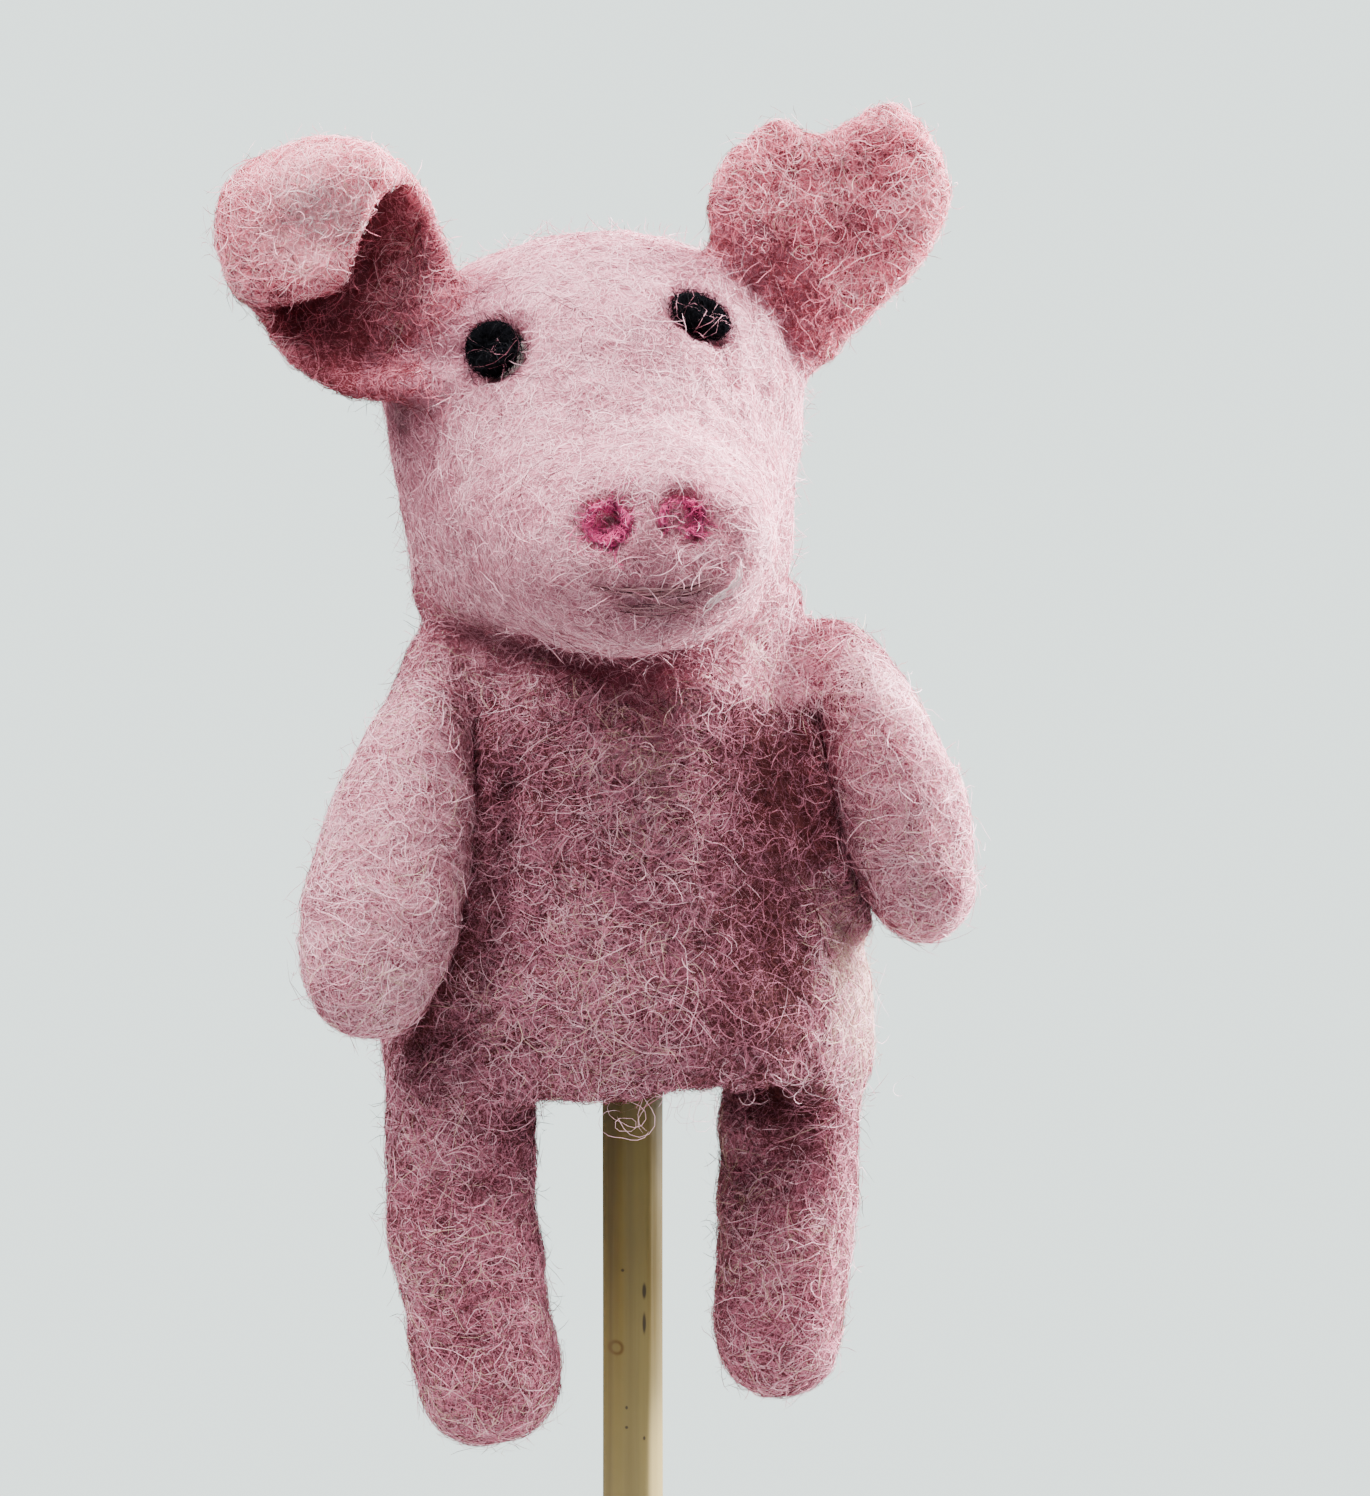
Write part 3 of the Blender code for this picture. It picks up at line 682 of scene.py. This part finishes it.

# Spots are (centre, radius, amount), for tone_of, and patches (wool, centre, radius, density). Many spots
# are painted light or painted shade.
mouth = box_point("mouth_strand_upper", 0.6, 0.5, 0.5)
armpit = box_point("body_sleeve", 0.88, 0.18, 0.93)
# painted shadow of the arm on the right of the belly, in three spots
TORSO_SPOTS = ((box_point("body_sleeve", 0.72, 0.12, 0.25), 10 * MM, -0.45),
               (box_point("body_sleeve", 0.76, 0.12, 0.55), 10 * MM, -0.6),
               (box_point("body_sleeve", 0.82, 0.15, 0.80), 9 * MM, -0.9),
               # painted shade in the armpit
               (armpit, 6 * MM, -1.6),
               # painted shade beside the other arm
               (box_point("body_sleeve", 0.20, 0.20, 0.75), 7 * MM, -0.4),
               # painted light on the chest under the head
               (box_point("body_sleeve", 0.50, 0.00, 0.90), 8 * MM, 0.35),
               # paler wool on the right side, with painted rim light
               (box_point("body_sleeve", 1.0, 0.35, 0.28), 11 * MM, 1.6),
               (box_point("body_sleeve", 0.20, 0.70, 1.0), 8 * MM, 0.8),
               (box_point("body_sleeve", 0.50, 0.95, 1.0), 8 * MM, 0.8),
               (box_point("body_sleeve", 0.80, 0.70, 1.0), 8 * MM, 0.8))
# painted light on the top of the shoulder, and painted shade in the armpit
SHOULDER_SPOTS = ((box_point("arm_left", 0.45, 0.5, 0.95), 9 * MM, 1.4), (armpit, 4 * MM, -1.8))
# painted shade at the top of the legs, under the hem
LEG_SPOTS = tuple((box_point(leg, 0.5, 0.2, 0.85), 10 * MM, -0.1) for leg in LEGS)
HEAD_SPOTS = ((mouth, 8 * MM, -0.35),
              # painted shade on the left side of the snout and of the head
              (box_point("snout", 0.05, 0.4, 0.4), 9 * MM, -0.5),
              (box_point("head", 0.0, 0.3, 0.35), 12 * MM, -0.6))
ARM_SPOTS = {"arm_left": SHOULDER_SPOTS, "arm_right": ()}
EAR_PATCHES = {"ear_right": ((WHITE_WOOL, box_point("ear_right", 0.40, 0.0, 0.72), 2.4 * MM, 0.8),
                             (WHITE_WOOL, box_point("ear_right", 0.66, 0.0, 0.66), 2.6 * MM, 0.8),
                             (UMBER_WOOL, box_point("ear_right", 0.10, 0.2, 0.30), 4.5 * MM, 0.15)),
               "ear_left": ()}
# on the folded ear: painted shadow of the flap in the ear's hollow, and painted light on the flap
EAR_SPOTS = {"ear_right": ((box_point("ear_right", 0.60, 0.5, 0.18), 8 * MM, -0.75),
                           (box_point("ear_right", 0.35, 0.0, 0.75), 8 * MM, 0.9)),
             "ear_left": ((box_point("ear_left", 0.25, 0.3, 0.25), 7 * MM, -0.8),
                          (box_point("ear_left", 0.60, 0.2, 0.50), 4 * MM, -0.5),
                          (box_point("ear_left", 0.95, 0.2, 0.60), 6 * MM, 0.6))}


def felt_torso():
    """The body, with the roots of the arms and legs."""
    move = ride_on("torso")
    sleeve = fields["body_sleeve"]
    piece = parent_felt("torso_felt", torso_field, sleeve, ARMS + LEGS, LIMB_SEAM, TORSO_WOOL, move,
                        whole_group, ("body_sleeve",), TORSO_SPOTS, root_tone=0.0)
    piece, arm_roots = split_roots(piece, ARMS, sleeve)
    piece, leg_roots = split_roots(piece, LEGS, sleeve)
    cover("torso", TORSO_WOOL, piece, torso_group, move, seed=11, spots=TORSO_SPOTS, grain=(1.6, 0, 0))
    cover("shoulder", ARM_WOOL, arm_roots, torso_group, move, seed=15, spots=SHOULDER_SPOTS)
    cover("hip", LEG_WOOL, leg_roots, torso_group, move, seed=18, spots=LEG_SPOTS)


def felt_head():
    """The head and snout, with the roots of the ears."""
    move = ride_on("head")
    piece = parent_felt("head_felt", head_field, skull_field, EARS, EAR_SEAM, HEAD_WOOL, move,
                        head_group, ("head", "snout"), HEAD_SPOTS, root_tone=-1.0)
    piece, ear_roots = split_roots(piece, EARS, skull_field)
    cover("head", HEAD_WOOL, piece, head_group, move, seed=12, spots=HEAD_SPOTS, length=2.6 * MM,
          arch=0.1 * MM, loose=0.3 * MM)
    cover("ear_root", EAR_WOOL, ear_roots, head_group, move, seed=16, spots=sum(EAR_SPOTS.values(), ()),
          length=EAR_FIBRE_LENGTH)
    cover("head_dark", UMBER_WOOL, piece, head_group, move, seed=14, density=0.012, loose=1.2 * MM)
    cover("muzzle", UMBER_WOOL, near(piece, mouth, 5 * MM), head_group, move, seed=17, density=0.10,
          length=1.6 * MM)


def felt_limb(limb, sort, spots, seed):
    """An arm or a leg."""
    move = bend_at()
    piece = limb_felt(limb, LIMB_SEAM, sort, move, torso_group, spots)
    cover(limb, sort, piece, torso_group, move, seed=seed, spots=spots)


def felt_ear(ear, seed):
    """An ear, with its patches of other wool."""
    move = bend_at()
    piece = limb_felt(ear, EAR_SEAM, EAR_WOOL, move, head_group, EAR_SPOTS[ear])
    cover(ear, EAR_WOOL, piece, head_group, move, seed=seed, spots=EAR_SPOTS[ear],
          length=EAR_FIBRE_LENGTH)
    for part, (sort, centre, radius, density) in enumerate(EAR_PATCHES[ear]):
        cover(f"{ear}_patch_{part}", sort, near(piece, centre, radius), head_group, move, seed=45 + part,
              density=density, length=EAR_FIBRE_LENGTH)


felt_torso()
felt_head()
felt_neck(whole_group)
for index, arm in enumerate(ARMS):
    felt_limb(arm, ARM_WOOL, ARM_SPOTS[arm], seed=20 + index)
for index, leg in enumerate(LEGS):
    felt_limb(leg, LEG_WOOL, LEG_SPOTS, seed=30 + index)
for index, ear in enumerate(EARS):
    felt_ear(ear, seed=40 + index)


# ---------------------------------------------------------------- the face

FINE_VOXEL = 0.15 * MM     # for the eyes and nostrils
FINE_SOFTENING = 3
UNEVEN = 0.35 * MM         # how far the edge of an eye or a nostril strays, and over what width
UNEVEN_CELL = 0.9 * MM
PINHOLE = 0.42 * MM        # the radius of a nostril's pit
PIT_FLOOR = 1.5 * PINHOLE  # the radius of the pit's floor
PIT_BED = 0.08 * MM        # how far that floor stands over the head's skin
PIT_SHADE_RADIUS = 2.2 * PINHOLE   # the radius of the painted shade over the pit, and its amount
PIT_SHADE = -2.0
STRAND_WIDTH = 0.075 * MM
STRAND_WAVE = 0.12 * MM    # how far a mouth strand's fibre strays from a line beside the others
STRAND_SLIP = 0.8          # how far it starts before or after the others, in steps
STRAND_RISE = (0.1, 0.4)   # how high it lies over the head, in mm


def wad(node, sort, seed, bed, proud, hole=None, **lay):
    """A small uneven wad of wool felted onto the head, whose fibres run on over its edge.

    Its skin lies a bed inside its CAD solid, and stands at most so proud of the head. A hole is the
    middle of a pit darkened with painted shade. Returns the wad's felt piece and its field, for more wool
    to lie on.
    """
    fine = Grid((node,), FINE_VOXEL)
    field = fine.distance(node, FINE_SOFTENING) + UNEVEN * fine.cloud(UNEVEN_CELL, seed) + bed
    x, y, z = fine.axes()
    places = np.stack(np.broadcast_arrays(x, y, z), axis=-1).reshape(-1, 3)
    over_head = sample(head_group, places).reshape(field.shape)
    field = np.maximum(field, over_head - proud)
    low = np.maximum(grid.distance(node, TRIM_SOFTENING) + bed, head_group - proud)
    over_all = np.minimum(low, head_group)
    spots = ()
    if hole is not None:
        apart = np.sqrt((x - hole[0]) ** 2 + (y - hole[1]) ** 2 + (z - hole[2]) ** 2)
        pit_floor = np.maximum(apart - PIT_FLOOR, over_head - PIT_BED)
        field = np.minimum(np.maximum(field, PINHOLE - apart), pit_floor)
        # painted shade over the pit
        spots = ((hole, PIT_SHADE_RADIUS, PIT_SHADE),)
    points, quads = fine.skin(field)
    felt_piece(node + "_felt", points, quads, sort, ride_on("head"), over_all, (node,), spots)
    centres = points[quads].mean(axis=1)
    covered = sample(head_group, centres) > 0
    if hole is not None:
        covered &= np.linalg.norm(centres - hole, axis=1) > PINHOLE
    piece = points, quads[covered]
    cover(node, sort, piece, over_all, ride_on("head"), seed=seed, spots=spots, **lay)
    return piece, over_all


def line_through(node, count):
    """Points along the middle of a strand's CAD tube, in order along its longest side."""
    points = mesh_arrays(frame["nodes"][node])[0]
    low, high = points.min(axis=0), points.max(axis=0)
    longest = int(np.argmax(high - low))
    order = np.argsort(points[:, longest])
    return np.array([part.mean(axis=0) for part in np.array_split(points[order], count)])


def strand(node, sort, seed, count, half_width):
    """A loose lock of wool along a CAD strand: long thin fibres, side by side and a little wavy."""
    rng = np.random.default_rng(seed)
    middle = line_through(node, FIBRE_STEPS)
    outward = uphill(head_group, middle)
    across = unit(np.cross(outward, np.gradient(middle, axis=0)))
    for index, (share, material) in enumerate(zip(sort.shares, sort.fibres)):
        number = max(int(count * share), 2)
        aside = rng.normal(0, half_width, (number, 1, 1))
        aside = aside + rng.normal(0, STRAND_WAVE, (number, FIBRE_STEPS, 1))
        places = middle[None] + across[None] * aside
        places += np.gradient(middle, axis=0)[None] * rng.normal(0, STRAND_SLIP, (number, 1, 1))
        flat = places.reshape(-1, 3)
        out = uphill(head_group, flat)
        flat = flat - out * (sample(head_group, flat)[:, None] - rng.uniform(*STRAND_RISE) * MM)
        fibres = flat.reshape(places.shape), out.reshape(places.shape)
        item = fibre_piece(f"{node}_wool_{index}", fibres, material, ride_on("head"), rng,
                           STRAND_WIDTH)
        if index == 0:
            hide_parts(node)


def eye_wad(eye, index):
    """A black eye, with fuzz round it and a few pale hairs across it."""
    piece, over_all = wad(eye, BLACK_WOOL, seed=50 + index, bed=0.30 * MM, proud=1.2 * MM, density=4.0,
                          length=1.6 * MM, curl=1.4, arch=0.2 * MM, loose=0.5 * MM)
    cover(eye + "_fuzz", BLACK_WOOL, piece, over_all, ride_on("head"), seed=55 + index, density=1.6,
          length=2.6 * MM, curl=0.8, arch=0.3 * MM, loose=0.8 * MM, lift=0.25 * MM)
    cover(eye + "_pale", HEAD_WOOL, piece, over_all, ride_on("head"), seed=60 + index, density=0.045,
          width=0.035 * MM, length=3.4 * MM, curl=0.6, arch=0.2 * MM, lift=0.35 * MM)


def nostril_wad(nostril, index):
    """A magenta nostril with a pit in its middle, darkened with painted shade."""
    wad(nostril, MAGENTA_WOOL, seed=70 + index, bed=-0.05 * MM, proud=0.45 * MM,
        hole=box_point(nostril, 0.5, 0.5, 0.5), density=1.8, length=1.3 * MM, curl=1.6,
        arch=0.1 * MM, loose=0.3 * MM, lift=0.1 * MM)


def inner_wool(node):
    """Gives a piece inside the pig its plain white wool."""
    materials = frame["nodes"][node].data.materials
    materials.clear()
    materials.append(WHITE_WOOL.skin)


for index, eye in enumerate(EYES):
    eye_wad(eye, index)
for index, nostril in enumerate(NOSTRILS):
    nostril_wad(nostril, index)
strand("mouth_strand_upper", UMBER_WOOL, seed=81, count=15, half_width=0.28 * MM)
strand("mouth_strand_lower", UMBER_WOOL, seed=82, count=10, half_width=0.28 * MM)
strand("mouth_corner_strand", WHITE_WOOL, seed=83, count=13, half_width=0.16 * MM)
inner_wool("head_core")
inner_wool("neck_join")


# ---------------------------------------------------------------- loose curls at the hem

CURL_WIDTH = 0.035 * MM
CURL_STEPS = 14
CURL_TURN = (3.5, 7.0)     # radians, the least and the most
CURL_SIZE = (0.4, 1.2)     # the least and the most, as a share of the given radius
CURL_OVAL = 0.3
CURL_LEAN = 0.4


def curls(name, centre, strewn, radius, count, sort, body, seed):
    """Loops of loose wool that hang free and face the front, strewn this far along each axis."""
    rng = np.random.default_rng(seed)
    start = rng.uniform(0, 2 * math.pi, (count, 1))
    angles = start + np.linspace(0, 1, CURL_STEPS) * rng.uniform(*CURL_TURN, (count, 1))
    reach = radius * rng.uniform(*CURL_SIZE, (count, 1)) * (1 + CURL_OVAL * np.sin(2 * angles + start))
    middle = np.array(centre) + rng.normal(0, 1, (count, 1, 3)) * np.array(strewn)
    lean = rng.normal(0, CURL_LEAN, (count, 1))
    across, up = reach * np.cos(angles), reach * np.sin(angles)
    places = middle + np.stack([across, lean * across, up], axis=-1)
    outs = np.broadcast_to(np.array((0.0, -1.0, 0.0)), places.shape)
    fibre_piece(name, (places, outs), sort.fibres[0], ride_on(body), rng, CURL_WIDTH)


hem_front = box_point("body_sleeve", 0.5, 0.03, 0.0)
curls("hem_curls", hem_front + np.array((0.5, 0.4, -0.2)) * MM, (2.2 * MM, 0.3 * MM, 0.5 * MM),
      radius=1.5 * MM, count=12, sort=ARM_WOOL, body="torso", seed=91)
leg_top = box_point("leg_left", 0.5, 0.0, 1.0)
curls("leg_curls", leg_top + np.array((0.5, -2.2, 1.2)) * MM, (3.6 * MM, 0.3 * MM, 0.5 * MM),
      radius=1.1 * MM, count=9, sort=ARM_WOOL, body="torso", seed=92)


# ---------------------------------------------------------------- the bamboo stick

FACETS = 7
FACET_DEPTH = 0.6          # 0 is a round stick, 1 one with flat sides
FACET_TURN = 0.3           # radians from +X to the first edge
STICK_SIDES = 56
STICK_LEVELS = 60
STICK_CHAMFER = 0.5 * MM
STICK_GRAIN = 0.004        # how much the sides differ, as a share of the radius
STICK_WAVER = 0.006
WAVER_LENGTH = 9 * MM
TIP = 1e-4                 # the ends close to this share of the radius

# Marks on the stick's front, as the photograph shows them: X, Z, half width, half height, in mm.
STICK_MARKS = ((-1.15, 48.1, 0.12, 0.12), (-0.85, 37.0, 0.10, 0.14), (-0.85, 35.4, 0.12, 0.12),
               (0.57, 34.5, 0.10, 0.16), (0.57, 46.4, 0.16, 0.60), (0.57, 43.8, 0.14, 0.80))
STICK_RING = (-1.6, 41.8, 0.55, 0.60)
RING_HOLE = (0.55, 0.60)   # the size of the ring's hole, as shares of its half width and half height


def stick_mark(tree, place, x, z, half_width, half_height, soft=0.4):
    """1 inside an ellipse on the stick's front, 0 outside it."""
    apart = add(tree, "ShaderNodeVectorMath", {0: place, 1: (x * MM, 0, z * MM)}, operation="SUBTRACT")
    scaled = add(tree, "ShaderNodeVectorMath", {
        0: apart.outputs[0], 1: (1 / (half_width * MM), 0, 1 / (half_height * MM))}, operation="MULTIPLY")
    off = add(tree, "ShaderNodeVectorMath", {0: scaled.outputs[0]}, operation="LENGTH").outputs["Value"]
    inside = spread(tree, off, 1 - soft, 1 + soft, 1.0, 0.0)
    front = spread(tree, add(tree, "ShaderNodeSeparateXYZ", {0: place}).outputs["Y"], 0.0, -0.5 * MM)
    return maths(tree, "MULTIPLY", inside, front)


def bamboo():
    """Split bamboo: lengthwise fibres of olive and tan, brown marks, and a dark stretch by the hem, partly
    stain and partly painted shade.
    """
    material = bpy.data.materials.new("bamboo_skin")
    material.use_nodes = True
    tree = material.node_tree
    place = object_place(tree)
    long_place = add(tree, "ShaderNodeVectorMath", {0: place, 1: (1.0, 1.0, 0.03)},
                     operation="MULTIPLY").outputs[0]
    streaks = spread(tree, noise(tree, long_place, 700.0, 4.0), 0.30, 0.70)
    broad = spread(tree, noise(tree, long_place, 180.0, 2.0), 0.35, 0.65)
    mottle = spread(tree, noise(tree, place, 60.0, 3.0), 0.35, 0.65)
    colour = mix(tree, streaks, (0.085, 0.052, 0.013, 1), (0.185, 0.128, 0.036, 1))
    colour = mix(tree, maths(tree, "MULTIPLY", broad, 0.5), colour, (0.25, 0.19, 0.065, 1))
    colour = mix(tree, maths(tree, "MULTIPLY", mottle, 0.35), colour, (0.09, 0.065, 0.016, 1))
    height = add(tree, "ShaderNodeSeparateXYZ", {0: place}).outputs["Z"]
    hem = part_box("body_sleeve")[0][2]
    # darker towards the hem: partly a stain, partly painted shade under the hem
    stain_and_shade = spread(tree, height, hem - 5 * MM, hem + 1 * MM, 0.0, 0.75)
    colour = mix(tree, stain_and_shade, colour, (0.07, 0.05, 0.02, 1))
    for mark in STICK_MARKS:
        colour = mix(tree, stick_mark(tree, place, *mark), colour, (0.035, 0.022, 0.008, 1))
    x, z, half_width, half_height = STICK_RING
    outer = stick_mark(tree, place, x, z, half_width, half_height, 0.2)
    inner = stick_mark(tree, place, x, z, half_width * RING_HOLE[0], half_height * RING_HOLE[1], 0.3)
    ring = maths(tree, "SUBTRACT", outer, inner)
    colour = mix(tree, ring, colour, (0.10, 0.055, 0.012, 1))
    shader = tree.nodes["Principled BSDF"]
    shader.inputs["Specular IOR Level"].default_value = 0.4
    roughness = spread(tree, streaks, 0.0, 1.0, 0.55, 0.36)
    tree.links.new(roughness, shader.inputs["Roughness"])
    return finish(material, colour, streaks, 0.05 * MM, 0.6)


def ring_quads(levels, sides):
    """Quads between rings of points, each ring with this many sides."""
    side = np.arange(sides)
    after = (side + 1) % sides
    level = np.arange(levels - 1)[:, None] * sides
    return np.stack([level + side, level + after, level + after + sides, level + side + sides],
                    axis=-1).reshape(-1, 4)


def bamboo_stick():
    """The stick with lengthwise facets, slightly uneven along its length."""
    low, high = (np.array(corner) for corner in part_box("stick"))
    radius = (high[0] - low[0]) / 2
    rng = np.random.default_rng(95)
    angle = np.arange(STICK_SIDES) / STICK_SIDES * 2 * math.pi
    facet = 2 * math.pi / FACETS
    flat = math.cos(facet / 2) / np.cos((angle + FACET_TURN) % facet - facet / 2)
    profile = 1 - FACET_DEPTH + FACET_DEPTH * flat
    profile = profile + rng.normal(0, STICK_GRAIN, STICK_SIDES)
    shaft = np.linspace(low[2] + STICK_CHAMFER, high[2] - STICK_CHAMFER, STICK_LEVELS)
    heights = np.concatenate([[low[2]] * 2, shaft, [high[2]] * 2])
    scale = np.ones(len(heights))
    scale[[1, -2]] = 1 - STICK_CHAMFER / radius
    scale[[0, -1]] = TIP
    waver = 1 + STICK_WAVER * np.sin(heights[:, None] / WAVER_LENGTH + 2 * angle[None])
    reach = radius * scale[:, None] * profile[None] * waver
    points = np.stack([reach * np.cos(angle), reach * np.sin(angle),
                       np.broadcast_to(heights[:, None], reach.shape)], axis=-1).reshape(-1, 3)
    item = new_mesh("bamboo_stick", points, ring_quads(len(heights), STICK_SIDES), bamboo())
    item.data.set_sharp_from_angle(angle=math.radians(50))
    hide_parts("stick")
    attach(item, "stick")


bamboo_stick()


# ---------------------------------------------------------------- the studio

BACKDROP = (1.84, 2.12, 2.05, 1)  # bright enough to come out pale after the view transform
AMBIENT = (0.94, 0.97, 1.0, 1)
AMBIENT_STRENGTH = 0.18
FLOOR_RADIUS = 160 * MM
LIGHT_AIM = Vector((0, 0, 90 * MM))     # the middle of the pig
CAMERA_AWAY = 500 * MM
PICTURE_HEIGHT = 119.68 * MM            # what the picture takes in, at the stick
PICTURE_MIDDLE = 86.2 * MM              # height of the stick that lies level with the picture's aim
AIM_RIGHT = 4.24 * MM                   # from there to the picture's middle
AIM_UP = 3.64 * MM


def studio():
    """A pale world that the camera sees brighter than the light it gives."""
    world = bpy.data.worlds.new("studio")
    bpy.context.scene.world = world
    world.use_nodes = True
    tree = world.node_tree
    ambient = tree.nodes["Background"]
    ambient.inputs["Color"].default_value = AMBIENT
    ambient.inputs["Strength"].default_value = AMBIENT_STRENGTH
    backdrop = add(tree, "ShaderNodeBackground", {"Color": BACKDROP, "Strength": 1.0})
    seen = add(tree, "ShaderNodeLightPath", {}).outputs["Is Camera Ray"]
    both = add(tree, "ShaderNodeMixShader", {0: seen, 1: ambient.outputs[0], 2: backdrop.outputs[0]})
    tree.links.new(both.outputs[0], tree.nodes["World Output"].inputs["Surface"])


def floor():
    """A pale disc under the stick, which fades out into the backdrop."""
    rings, sides = 24, 96
    reach = np.linspace(1 * MM, FLOOR_RADIUS, rings)[:, None]
    angle = np.arange(sides) / sides * 2 * math.pi
    points = np.stack([reach * np.cos(angle), reach * np.sin(angle),
                       np.zeros((rings, sides))], axis=-1).reshape(-1, 3)
    material = bpy.data.materials.new("pale_floor")
    material.use_nodes = True
    tree = material.node_tree
    shader = tree.nodes["Principled BSDF"]
    shader.inputs["Base Color"].default_value = (0.40, 0.42, 0.415, 1)
    shader.inputs["Roughness"].default_value = 0.8
    off = add(tree, "ShaderNodeVectorMath", {0: object_place(tree)}, operation="LENGTH").outputs["Value"]
    fade = spread(tree, off, 0.3 * FLOOR_RADIUS, 0.98 * FLOOR_RADIUS)
    clear = add(tree, "ShaderNodeBsdfTransparent", {})
    both = add(tree, "ShaderNodeMixShader", {0: fade, 1: shader.outputs[0], 2: clear.outputs[0]})
    tree.links.new(both.outputs[0], tree.nodes["Material Output"].inputs["Surface"])
    new_mesh("floor", points, ring_quads(rings, sides), material)


def soft_light(name, place, size, power):
    """A square softbox that looks at the middle of the pig."""
    lamp = bpy.data.lights.new(name, "AREA")
    lamp.size = size
    lamp.energy = power
    item = bpy.data.objects.new(name, lamp)
    item.location = place
    item.rotation_euler = (LIGHT_AIM - Vector(place)).to_track_quat("-Z", "Y").to_euler()
    bpy.context.scene.collection.objects.link(item)


def camera():
    """The photograph's view: a little from the pig's right and from above."""
    yaw = math.radians(10)
    elevation = math.radians(4)
    look = Vector((math.sin(yaw) * math.cos(elevation), math.cos(yaw) * math.cos(elevation),
                   -math.sin(elevation)))
    right = Vector((math.cos(yaw), -math.sin(yaw), 0))
    up = right.cross(look)
    aim = Vector((0, 0, PICTURE_MIDDLE)) + right * AIM_RIGHT + up * AIM_UP
    data = bpy.data.cameras.new("camera")
    data.lens = data.sensor_width * CAMERA_AWAY / PICTURE_HEIGHT
    item = bpy.data.objects.new("camera", data)
    item.location = aim - look * CAMERA_AWAY
    item.rotation_euler = look.to_track_quat("-Z", "Y").to_euler()
    bpy.context.scene.collection.objects.link(item)
    bpy.context.scene.camera = item


studio()
floor()
camera()
soft_light("key", (0.60, 0.17, 0.28), 0.3, 70.0)
soft_light("left", (-0.40, -0.10, 0.56), 0.4, 13.0)
soft_light("top", (0.10, -0.12, 0.74), 0.5, 18.0)
